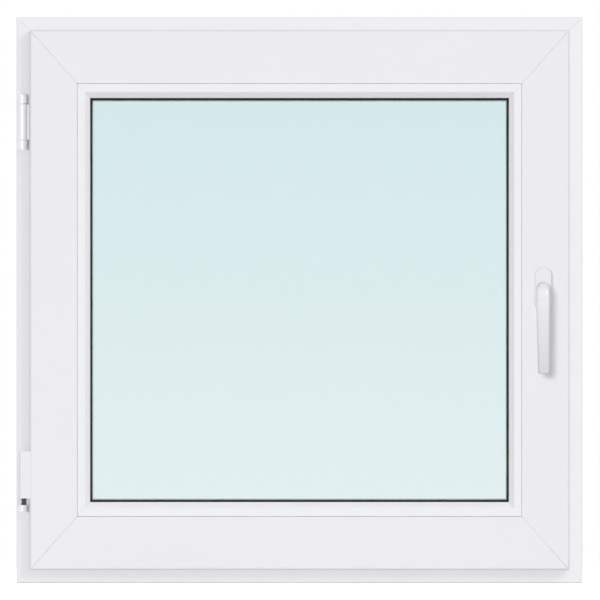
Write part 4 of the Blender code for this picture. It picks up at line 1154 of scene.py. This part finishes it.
def makeLowerHinge(s):
    low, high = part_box("lower_hinge_cover")
    cover = prismMesh("cover", coverOutline(low, high, s), low.z, high.z, 0.25 * mm)
    bore = s["pinRadius"] + s["gap"]
    end = high.z - s["coverBore"]
    hole = [(0, low.z - mm), (bore, low.z - mm), (bore, end), (0, end)]
    cover = carveMesh(cover, [turnedMesh("hole", hole, (hingeLine.x, hingeLine.y, 0), "z", 48)])
    addPiece("lower_hinge_cover_cap", cover, coverWhite, "sash", ["lower_hinge_cover"])

    blockLow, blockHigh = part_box("lower_hinge_bearing")
    outline = bearingOutline("lower_hinge_bearing")
    block = prismMesh("block", outline, blockLow.z, blockHigh.z, s["chamfer"])
    bearing = hingePiece("lower_hinge_bearing_block", block, "frame", "lower_hinge_bearing")

    pinLow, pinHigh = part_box("lower_hinge_pin")
    bottom = blockHigh.z + s["gap"]
    top = low.z - s["gap"]
    collar = (pinHigh.x - pinLow.x) / 2
    neck = s["pinRadius"]
    third = (top - bottom) / 3
    profile = [
        (0, bottom - 2 * mm),
        (neck, bottom - 2 * mm),
        (neck, bottom),
        (collar - 0.4 * mm, bottom),
        (collar, bottom + 0.4 * mm),
        (collar, bottom + third - 0.4 * mm),
        (collar - 0.4 * mm, bottom + third),
        (collar - 0.9 * mm, bottom + third + 0.2 * mm),
        (collar - 0.9 * mm, bottom + 2 * third - 0.2 * mm),
        (collar - 0.4 * mm, bottom + 2 * third),
        (collar, bottom + 2 * third + 0.4 * mm),
        (collar, top - 0.4 * mm),
        (collar - 0.4 * mm, top),
        (neck, top),
        (neck, pinHigh.z - 0.5 * mm),
        (neck - 0.5 * mm, pinHigh.z),
        (0, pinHigh.z),
    ]
    pin = turnedMesh("pin", profile, (hingeLine.x, hingeLine.y, 0), "z", 48)
    addPiece("lower_hinge_pin_collar", pin, darkZinc, "frame", ["lower_hinge_pin"])
    return [bearing]


hingePieces = makeUpperHinge(hinges) + makeLowerHinge(hinges)
print("hinges made")

# handle

handle = {
    "edgeWidth": 2.2 * mm,
    "edgeDepth": 4.0 * mm,
    "wall": 1.5 * mm,
    "seamDepth": 0.35 * mm,
    "neckRadius": 10.5 * mm,
    "bend": 14 * mm,
    "length": 135 * mm,
    "topHalf": 11.0 * mm,
    "endHalf": 8.95 * mm,
    "topShift": -1.0 * mm,
    "endShift": 0.25 * mm,
    "topThickness": 6.5 * mm,
    "endThickness": 5.5 * mm,
    "squareness": 2.9,
    "endRound": 3.2 * mm,
    "bendRings": 16,
    "gripRings": 18,
    "points": 72,
}
joints = {joint["name"]: joint for joint in frame["record"]["behaviour"]["joints"]}
handleAxis = Vector(joints["handle_turn"]["pos_m"])
rosetteLow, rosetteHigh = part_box("handle_rosette")
leverLow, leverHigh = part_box("handle_lever")


def makeRosette(s):
    radius = (rosetteHigh.x - rosetteLow.x) / 2
    straight = (rosetteHigh.z - rosetteLow.z) / 2 - radius
    back = rosetteHigh.y
    front = rosetteLow.y
    mouth = s["neckRadius"] + 0.3 * mm

    def ring(r, stretch, y):
        return [(handleAxis.x + p.x, y, handleAxis.z + p.y) for p in slotPoints(r, stretch, s["points"])]

    seam = s["seamDepth"]
    rings = [
        ring(radius - seam, straight, back),
        ring(radius - seam, straight, back - 0.5 * mm),
        ring(radius, straight, back - 0.7 * mm),
        ring(radius, straight, back - 1.0 * mm),
    ]
    for i in range(11):
        turn = pi / 20 * i
        inset = s["edgeWidth"] * (1 - cos(turn))
        rings.append(ring(radius - inset, straight, front + s["edgeDepth"] * (1 - sin(turn))))
    rings += [
        ring(mouth + 0.25 * mm, 0, front),
        ring(mouth, 0, front + 0.3 * mm),
        ring(mouth, 0, front + s["wall"]),
        ring(radius - 3 * mm, straight, front + s["wall"]),
        ring(radius - s["wall"], straight, front + s["edgeDepth"]),
        ring(radius - s["wall"], straight, back),
    ]
    mesh = ringsToMesh("rosette", rings, cyclic=True)
    return addPiece("handle_rosette_cap", mesh, handleWhite, "sash", ["handle_rosette"])


# a soft-cornered section across the lever, whose path leans by turn from the axis to straight down
def leverRing(y, z, turn, halfWidth, halfThickness, shift, squareness, count):
    across = Vector((0, sin(turn), -cos(turn)))
    points = []
    for i in range(count):
        angle = 2 * pi * i / count
        side = abs(cos(angle)) ** (2 / squareness) * (1 if cos(angle) > 0 else -1)
        depth = abs(sin(angle)) ** (2 / squareness) * (1 if sin(angle) > 0 else -1)
        base = Vector((handleAxis.x + halfWidth * side + shift, y, handleAxis.z + z))
        points.append(base + across * halfThickness * depth)
    return points


def makeLever(s):
    gripY = leverLow.y + s["topThickness"]
    bendY = gripY + s["bend"]
    count = s["points"]
    neck = s["neckRadius"]
    rings = [leverRing(y, 0, 0, neck, neck, 0, 2, count) for y in (leverHigh.y, bendY + mm, bendY)]
    for i in range(1, s["bendRings"] + 1):
        share = i / s["bendRings"]
        soft = share * share * (3 - 2 * share)
        turn = share * pi / 2
        rings.append(
            leverRing(
                bendY - s["bend"] * sin(turn),
                -s["bend"] + s["bend"] * cos(turn),
                turn,
                neck + (s["topHalf"] - neck) * soft,
                neck + (s["topThickness"] - neck) * soft,
                s["topShift"] * soft,
                2 + (s["squareness"] - 2) * soft,
                count,
            )
        )
    straight = s["length"] - s["bend"] - s["endRound"]

    def grip(along, inset):
        share = along / (s["length"] - s["bend"])
        width = s["topHalf"] + (s["endHalf"] - s["topHalf"]) * share - inset
        thickness = s["topThickness"] + (s["endThickness"] - s["topThickness"]) * share - inset
        shift = s["topShift"] + (s["endShift"] - s["topShift"]) * share
        return leverRing(gripY, -s["bend"] - along, pi / 2, width, thickness, shift, s["squareness"], count)

    for i in range(1, s["gripRings"] + 1):
        rings.append(grip(straight * i / s["gripRings"], 0))
    for i in range(1, 9):
        turn = pi / 16 * i
        rings.append(grip(straight + s["endRound"] * sin(turn), s["endRound"] * (1 - cos(turn))))
    mesh = ringsToMesh("lever", rings)
    return addPiece("handle_lever_grip", mesh, leverShadedWhite, "handle", ["handle_lever"])


handlePieces = [makeRosette(handle), makeLever(handle)]
print("handle made")

# screws and caps


# a countersunk head at each point of the mesh that carries it, with its cross recess drawn as a thin
# near-black cross of painted shade on top
def makeScrewTree():
    tree, start, end = newGroup(
        "screwHeads",
        "GeometryNodeTree",
        [
            ("Places", "NodeSocketGeometry", None),
            ("Head Radius", "NodeSocketFloat", 3.4 * mm),
            ("Head Height", "NodeSocketFloat", 0.9 * mm),
            ("Recess", "NodeSocketFloat", 0.75 * mm),
            ("Turn", "NodeSocketVector", (0.0, 0.0, 0.0)),
            ("Metal", "NodeSocketMaterial", None),
            ("Dark", "NodeSocketMaterial", None),
        ],
        [("Screws", "NodeSocketGeometry")],
    )
    link = tree.links.new
    head = addNode(tree, "GeometryNodeMeshCone")
    head.inputs["Vertices"].default_value = 28
    link(start.outputs["Head Radius"], head.inputs["Radius Bottom"])
    link(mathNode(tree, "MULTIPLY", start.outputs["Head Radius"], 0.82), head.inputs["Radius Top"])
    link(start.outputs["Head Height"], head.inputs["Depth"])
    join = addNode(tree, "GeometryNodeJoinGeometry")
    long = mathNode(tree, "MULTIPLY", start.outputs["Head Radius"], 1.05)
    for first, second in ((0, 1), (1, 0)):
        size = addNode(tree, "ShaderNodeCombineXYZ")
        link(long, size.inputs[first])
        link(start.outputs["Recess"], size.inputs[second])
        size.inputs[2].default_value = 0.08 * mm
        bar = addNode(tree, "GeometryNodeMeshCube")
        link(size.outputs[0], bar.inputs["Size"])
        lift = addNode(tree, "ShaderNodeCombineXYZ")
        link(start.outputs["Head Height"], lift.inputs[2])
        raised = addNode(tree, "GeometryNodeTransform")
        link(bar.outputs["Mesh"], raised.inputs["Geometry"])
        link(lift.outputs[0], raised.inputs["Translation"])
        marked = addNode(tree, "GeometryNodeStoreNamedAttribute", data_type="BOOLEAN", domain="FACE")
        marked.inputs["Name"].default_value = "recess"
        marked.inputs["Value"].default_value = True
        link(raised.outputs[0], marked.inputs["Geometry"])
        link(marked.outputs[0], join.inputs[0])
    link(head.outputs["Mesh"], join.inputs[0])
    toPoints = addNode(tree, "GeometryNodeMeshToPoints")
    link(start.outputs["Places"], toPoints.inputs[0])
    place = addNode(tree, "GeometryNodeInstanceOnPoints")
    link(toPoints.outputs[0], place.inputs["Points"])
    link(join.outputs[0], place.inputs["Instance"])
    link(start.outputs["Turn"], place.inputs["Rotation"])
    realize = addNode(tree, "GeometryNodeRealizeInstances")
    link(place.outputs[0], realize.inputs[0])
    metal = addNode(tree, "GeometryNodeSetMaterial")
    link(realize.outputs[0], metal.inputs["Geometry"])
    link(start.outputs["Metal"], metal.inputs["Material"])
    isRecess = addNode(tree, "GeometryNodeInputNamedAttribute", data_type="BOOLEAN")
    isRecess.inputs["Name"].default_value = "recess"
    dark = addNode(tree, "GeometryNodeSetMaterial")
    link(metal.outputs[0], dark.inputs["Geometry"])
    link(isRecess.outputs["Attribute"], dark.inputs["Selection"])
    link(start.outputs["Dark"], dark.inputs["Material"])
    link(dark.outputs[0], end.inputs[0])
    return tree


# a low domed plug over each fixing hole
def makeCapTree():
    tree, start, end = newGroup(
        "fixingCaps",
        "GeometryNodeTree",
        [
            ("Places", "NodeSocketGeometry", None),
            ("Radius", "NodeSocketFloat", 5.5 * mm),
            ("Height", "NodeSocketFloat", 0.8 * mm),
            ("Turn", "NodeSocketVector", (0.0, 0.0, 0.0)),
            ("Plastic", "NodeSocketMaterial", None),
        ],
        [("Caps", "NodeSocketGeometry")],
    )
    link = tree.links.new
    rim = addNode(tree, "GeometryNodeMeshCylinder")
    rim.inputs["Vertices"].default_value = 32
    link(start.outputs["Radius"], rim.inputs["Radius"])
    link(start.outputs["Height"], rim.inputs["Depth"])
    dome = addNode(tree, "GeometryNodeMeshCone")
    dome.inputs["Vertices"].default_value = 32
    link(mathNode(tree, "MULTIPLY", start.outputs["Radius"], 0.93), dome.inputs["Radius Bottom"])
    link(mathNode(tree, "MULTIPLY", start.outputs["Radius"], 0.55), dome.inputs["Radius Top"])
    link(start.outputs["Height"], dome.inputs["Depth"])
    join = addNode(tree, "GeometryNodeJoinGeometry")
    link(rim.outputs["Mesh"], join.inputs[0])
    link(dome.outputs["Mesh"], join.inputs[0])
    toPoints = addNode(tree, "GeometryNodeMeshToPoints")
    link(start.outputs["Places"], toPoints.inputs[0])
    place = addNode(tree, "GeometryNodeInstanceOnPoints")
    link(toPoints.outputs[0], place.inputs["Points"])
    link(join.outputs[0], place.inputs["Instance"])
    link(start.outputs["Turn"], place.inputs["Rotation"])
    realize = addNode(tree, "GeometryNodeRealizeInstances")
    link(place.outputs[0], realize.inputs[0])
    finish = addNode(tree, "GeometryNodeSetMaterial")
    link(realize.outputs[0], finish.inputs["Geometry"])
    link(start.outputs["Plastic"], finish.inputs["Material"])
    link(finish.outputs[0], end.inputs[0])
    return tree


# runs a node tree on a mesh of points or edges and keeps its result as a plain piece
def spreadOn(name, places, edges, tree, values, body):
    points = bpy.data.meshes.new(name + "Points")
    points.from_pydata([tuple(place) for place in places], edges, [])
    holder = bpy.data.objects.new(name + "Holder", points)
    bpy.context.scene.collection.objects.link(holder)
    modifier = holder.modifiers.new("spread", "NODES")
    modifier.node_group = tree
    for socket in tree.interface.items_tree:
        if socket.item_type == "SOCKET" and socket.in_out == "INPUT" and socket.name in values:
            modifier[socket.identifier] = values[socket.name]
    mesh = plainMesh(holder)
    bpy.data.objects.remove(holder)
    bpy.data.meshes.remove(points)
    mesh.name = name
    mesh.shade_smooth()
    mesh.set_sharp_from_angle(angle=radians(25))
    piece = bpy.data.objects.new(name, mesh)
    bpy.context.scene.collection.objects.link(piece)
    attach(piece, body)
    return piece


screws = {
    "plateInset": 14 * mm,
    "plateHeights": (0.0, 0.30, 0.42, 0.66, 1.0),  # shares of the faceplate's length
    "keepSpread": 22 * mm,
    "keepShift": 4.5 * mm,
    "keepFace": 1.6 * mm,
    "capHeights": (0.13, 0.38, 0.62, 0.87),  # shares of the window's height
    "capDepth": -4 * mm,
}


def makeScrews(s):
    metal = {"Metal": zincSteel, "Dark": paintedRecessShade}
    screwTree = makeScrewTree()
    capTree = makeCapTree()
    run = plateHigh.z - plateLow.z - 2 * s["plateInset"]
    y = (plateLow.y + plateHigh.y) / 2
    heights = [plateLow.z + s["plateInset"] + run * share for share in s["plateHeights"]]
    places = [(plateHigh.x - 0.1 * mm, y, z) for z in heights]
    values = {**metal, "Turn": (0.0, pi / 2, 0.0), "Head Radius": 3.2 * mm, "Head Height": 0.5 * mm}
    spreadOn("faceplate_screws", places, [], screwTree, values, "sash")

    places = []
    for node in ("keep_lower", "keep_upper"):
        low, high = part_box(node)
        y = (low.y + high.y) / 2 + s["keepShift"]
        for side in (-1, 1):
            places.append((low.x + s["keepFace"], y, (low.z + high.z) / 2 + side * s["keepSpread"]))
    values = {**metal, "Turn": (0.0, -pi / 2, 0.0), "Head Radius": 3.4 * mm}
    spreadOn("keep_screws", places, [], screwTree, values, "frame")

    floorDepth = halfWidth - outerFrame["legWidth"] - 0.55 * mm
    for name, side, turn in (("hinge_jamb_caps", -1, pi / 2), ("lock_jamb_caps", 1, -pi / 2)):
        places = [(side * floorDepth, s["capDepth"], windowHeight * share) for share in s["capHeights"]]
        values = {"Plastic": coverWhite, "Turn": (0.0, turn, 0.0)}
        spreadOn(name, places, [], capTree, values, "frame")


makeScrews(screws)
print("screws and caps made")

# vent holes in the spacer, drawn as dark discs of painted shade

ventRow = {"spacerWidth": 13 * mm, "radius": 0.5 * mm, "spacing": 5.2 * mm, "inset": 12 * mm}


# a row of thin dark discs along each edge, facing the middle of the pane: painted shade standing for small
# holes
def makeVentTree():
    tree, start, end = newGroup(
        "ventHoles",
        "GeometryNodeTree",
        [
            ("Edge", "NodeSocketGeometry", None),
            ("Spacing", "NodeSocketFloat", 5.2 * mm),
            ("Radius", "NodeSocketFloat", 0.5 * mm),
            ("Dark", "NodeSocketMaterial", None),
        ],
        [("Holes", "NodeSocketGeometry")],
    )
    link = tree.links.new
    curve = addNode(tree, "GeometryNodeMeshToCurve")
    link(start.outputs["Edge"], curve.inputs[0])
    points = addNode(tree, "GeometryNodeCurveToPoints", mode="LENGTH")
    link(curve.outputs[0], points.inputs[0])
    link(start.outputs["Spacing"], points.inputs["Length"])
    hole = addNode(tree, "GeometryNodeMeshCylinder")
    hole.inputs["Vertices"].default_value = 10
    hole.inputs["Depth"].default_value = 0.06 * mm
    link(start.outputs["Radius"], hole.inputs["Radius"])
    place = addNode(tree, "GeometryNodeInstanceOnPoints")
    link(points.outputs["Points"], place.inputs["Points"])
    link(hole.outputs["Mesh"], place.inputs["Instance"])
    align = addNode(tree, "FunctionNodeAlignRotationToVector", axis="Z")
    position = addNode(tree, "GeometryNodeInputPosition")
    toMiddle = addNode(tree, "ShaderNodeVectorMath", operation="SUBTRACT")
    toMiddle.inputs[0].default_value = (0, 0, windowHeight / 2)
    link(position.outputs[0], toMiddle.inputs[1])
    split = addNode(tree, "ShaderNodeSeparateXYZ")
    link(toMiddle.outputs[0], split.inputs[0])
    across = mathNode(tree, "ABSOLUTE", split.outputs["X"])
    upright = mathNode(tree, "ABSOLUTE", split.outputs["Z"])
    sideways = mathNode(tree, "GREATER_THAN", across, upright)
    xPart = mathNode(tree, "MULTIPLY", split.outputs["X"], sideways)
    zPart = mathNode(tree, "MULTIPLY", split.outputs["Z"], mathNode(tree, "SUBTRACT", 1.0, sideways))
    facing = addNode(tree, "ShaderNodeCombineXYZ")
    link(xPart, facing.inputs[0])
    link(zPart, facing.inputs[2])
    link(facing.outputs[0], align.inputs["Vector"])
    link(align.outputs[0], place.inputs["Rotation"])
    realize = addNode(tree, "GeometryNodeRealizeInstances")
    link(place.outputs[0], realize.inputs[0])
    finish = addNode(tree, "GeometryNodeSetMaterial")
    link(realize.outputs[0], finish.inputs["Geometry"])
    link(start.outputs["Dark"], finish.inputs["Material"])
    link(finish.outputs[0], end.inputs[0])
    return tree


def makeVents(s):
    # two rows on the inner face of the spacer, on all four sides
    spacerLow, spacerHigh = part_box("spacer_bar")
    innerW = halfWidth + spacerLow.x + s["spacerWidth"]
    left = innerW - halfWidth
    bottom = alongRail(innerW)
    inset = s["inset"]
    y = (spacerLow.y + spacerHigh.y) / 2
    verts = []
    edges = []
    for row in (-1.6 * mm, 1.6 * mm):
        for x0, z0, x1, z1 in (
            (left, bottom + inset, left, windowHeight - bottom - inset),
            (-left, bottom + inset, -left, windowHeight - bottom - inset),
            (left + inset, bottom, -left - inset, bottom),
            (left + inset, windowHeight - bottom, -left - inset, windowHeight - bottom),
        ):
            edges.append((len(verts), len(verts) + 1))
            verts += [(x0, y + row, z0), (x1, y + row, z1)]
    values = {"Spacing": s["spacing"], "Radius": s["radius"], "Dark": paintedRecessShade}
    spreadOn("spacer_vents", verts, edges, makeVentTree(), values, "sash")


makeVents(ventRow)
print("spacer vents made")

# the frame's parts that keep their CAD shape


def assignFinish(node, material):
    piece = nodes[node]
    piece.data.materials.clear()
    piece.data.materials.append(material)


tintsWithReflection = (glazing["topTintWithPaintedReflection"], glazing["bottomTintWithPaintedReflection"])
paneGlass = glassFinish("paneGlass", roomPaneLow.z, roomPaneHigh.z, *tintsWithReflection)
for node in ("glass_pane_room", "glass_pane_outside"):
    assignFinish(node, paneGlass)
slotFinish = {
    "frame_white": frameWhite,
    "sash_white": sashWhite,
    "bead_white": beadWhite,
    "hinge_white": hingeWhite,
    "cover_white": coverWhite,
    "handle_white": handleWhite,
    "zinc_steel": zincSteel,
    "cast_zinc": castZinc,
    "black_rubber": blackRubber,
    "spacer_aluminium": spacerMetal,
    "packer_plastic": packerBlue,
}
for part in frame["record"]["subparts"]:
    if part["material_slot"] in slotFinish:
        assignFinish(part["node"], slotFinish[part["material_slot"]])
print("finishes on the frame's own parts")

# stage

stage = {
    "cameraDistance": 26.5,
    "lens": 1000.0,
    "lookAt": (0.0008, 0.0, 0.4501),
    "floorRadius": 2.2,
    "floorDark": (0.74, 0.74, 0.74),
    "floorLight": (0.78, 0.78, 0.78),
    "floorGlow": 0.55,  # seen but giving no light, so that little comes up from the floor
    "worldLight": 0.443,
    "worldSeen": 1.0,
}
lamps = {
    "keyLamp": {"power": 212.0, "size": 3.4, "place": (5.6, -6.4, 5.4), "shine": True},
    # this one draws the handle's shadow
    "sideLamp": {"power": 292.0, "size": 1.8, "place": (-1.3, -8.0, 1.45), "shine": False},
    # and this one the bright left side of the hinges
    "hingeLamp": {"power": 350.0, "size": 1.4, "place": (-5.2, -5.6, 1.6), "shine": True},
    "backLamp": {"power": 60.0, "size": 3.0, "place": (-2.0, 3.6, 2.8), "shine": True},
}


# 1 where the camera looks, straight or through the glass
def seenRays(tree):
    path = addNode(tree, "ShaderNodeLightPath")
    rays = (path.outputs["Is Camera Ray"], path.outputs["Is Transmission Ray"])
    return mathNode(tree, "ADD", *rays, clamp=True)


def makeFloor(s):
    bm = bmesh.new()
    bmesh.ops.create_circle(bm, cap_ends=True, radius=s["floorRadius"], segments=96)
    mesh = closeMesh(bm, "floor")
    material, tree, shader = newFinish("paleFloor")
    distance = addNode(tree, "ShaderNodeVectorMath", operation="LENGTH")
    tree.links.new(objectVector(tree), distance.inputs[0])
    radius = s["floorRadius"]
    fade = addNode(tree, "ShaderNodeMapRange")
    setInputs(fade, **{"From Min": radius * 0.45, "From Max": radius * 0.98})
    tree.links.new(distance.outputs["Value"], fade.inputs["Value"])
    grain = setInputs(addNode(tree, "ShaderNodeTexNoise"), Scale=60.0, Detail=4.0)
    tree.links.new(objectVector(tree), grain.inputs["Vector"])
    tone = mixColour(tree, grain.outputs["Fac"], s["floorDark"], s["floorLight"])
    tree.links.new(tone, shader.inputs["Base Color"])
    shader.inputs["Roughness"].default_value = 0.7
    glow = mixColour(tree, seenRays(tree), (0, 0, 0), (1, 1, 1))
    tree.links.new(glow, shader.inputs["Emission Color"])
    shader.inputs["Emission Strength"].default_value = s["floorGlow"]
    clear = addNode(tree, "ShaderNodeBsdfTransparent")
    mix = addNode(tree, "ShaderNodeMixShader")
    tree.links.new(fade.outputs["Result"], mix.inputs[0])
    tree.links.new(shader.outputs[0], mix.inputs[1])
    tree.links.new(clear.outputs[0], mix.inputs[2])
    tree.links.new(mix.outputs[0], tree.nodes["Material Output"].inputs["Surface"])
    mesh.materials.append(material)
    floor = bpy.data.objects.new("floor", mesh)
    bpy.context.scene.collection.objects.link(floor)
    floor.location.z = cadLow.z - 0.5 * mm


# white to look at, also through the glass, and softer as a light
def makeWorld(s):
    world = bpy.data.worlds.new("studio")
    bpy.context.scene.world = world
    world.use_nodes = True
    tree = world.node_tree
    background = tree.nodes["Background"]
    extra = mathNode(tree, "MULTIPLY", seenRays(tree), s["worldSeen"] - s["worldLight"])
    tree.links.new(mathNode(tree, "ADD", extra, s["worldLight"]), background.inputs["Strength"])
    background.inputs["Color"].default_value = (1, 1, 1, 1)


# a square soft lamp that is not itself seen
def addLamp(name, target):
    s = lamps[name]
    lamp = bpy.data.lights.new(name, "AREA")
    lamp.energy = s["power"]
    lamp.size = s["size"]
    holder = bpy.data.objects.new(name, lamp)
    bpy.context.scene.collection.objects.link(holder)
    holder.location = s["place"]
    holder.rotation_euler = (Vector(target) - Vector(s["place"])).to_track_quat("-Z", "Y").to_euler()
    holder.visible_glossy = s["shine"]
    holder.visible_camera = False
    holder.visible_transmission = False
    return holder


# the pieces that a lamp minds alone (INCLUDE) or leaves out (EXCLUDE)
def linkedPieces(name, state, pieces):
    linked = bpy.data.collections.new(name)
    for piece in pieces:
        linked.objects.link(piece)
    for entry in linked.collection_objects:
        entry.light_linking.link_state = state
    return linked


def limitShadows(lamp, state, pieces):
    lamp.light_linking.blocker_collection = linkedPieces(lamp.name + "Shadows", state, pieces)


def limitLight(lamp, state, pieces):
    lamp.light_linking.receiver_collection = linkedPieces(lamp.name + "Lights", state, pieces)


def makeCamera(s):
    data = bpy.data.cameras.new("camera")
    data.lens = s["lens"]
    camera = bpy.data.objects.new("camera", data)
    bpy.context.scene.collection.objects.link(camera)
    target = Vector(s["lookAt"])
    camera.location = target + Vector((0, sashFront - s["cameraDistance"], 0))
    camera.rotation_euler = (target - camera.location).to_track_quat("-Z", "Y").to_euler()
    bpy.context.scene.camera = camera


makeFloor(stage)
makeWorld(stage)
middle = (0, 0, windowHeight / 2)
handleNodes = ("handle_base", "handle_spindle", "handle_screw_upper", "handle_screw_lower")
handleParts = handlePieces + [nodes[node] for node in handleNodes]
keyLamp = addLamp("keyLamp", middle)
limitShadows(keyLamp, "EXCLUDE", handleParts)
limitLight(keyLamp, "EXCLUDE", hingePieces)
sideLamp = addLamp("sideLamp", middle)
limitShadows(sideLamp, "INCLUDE", handlePieces)
limitLight(sideLamp, "EXCLUDE", hingePieces)
hingeLamp = addLamp("hingeLamp", middle)
limitLight(hingeLamp, "INCLUDE", hingePieces)
addLamp("backLamp", middle)
makeCamera(stage)
bpy.context.scene.view_settings.view_transform = "Standard"
print("stage made")
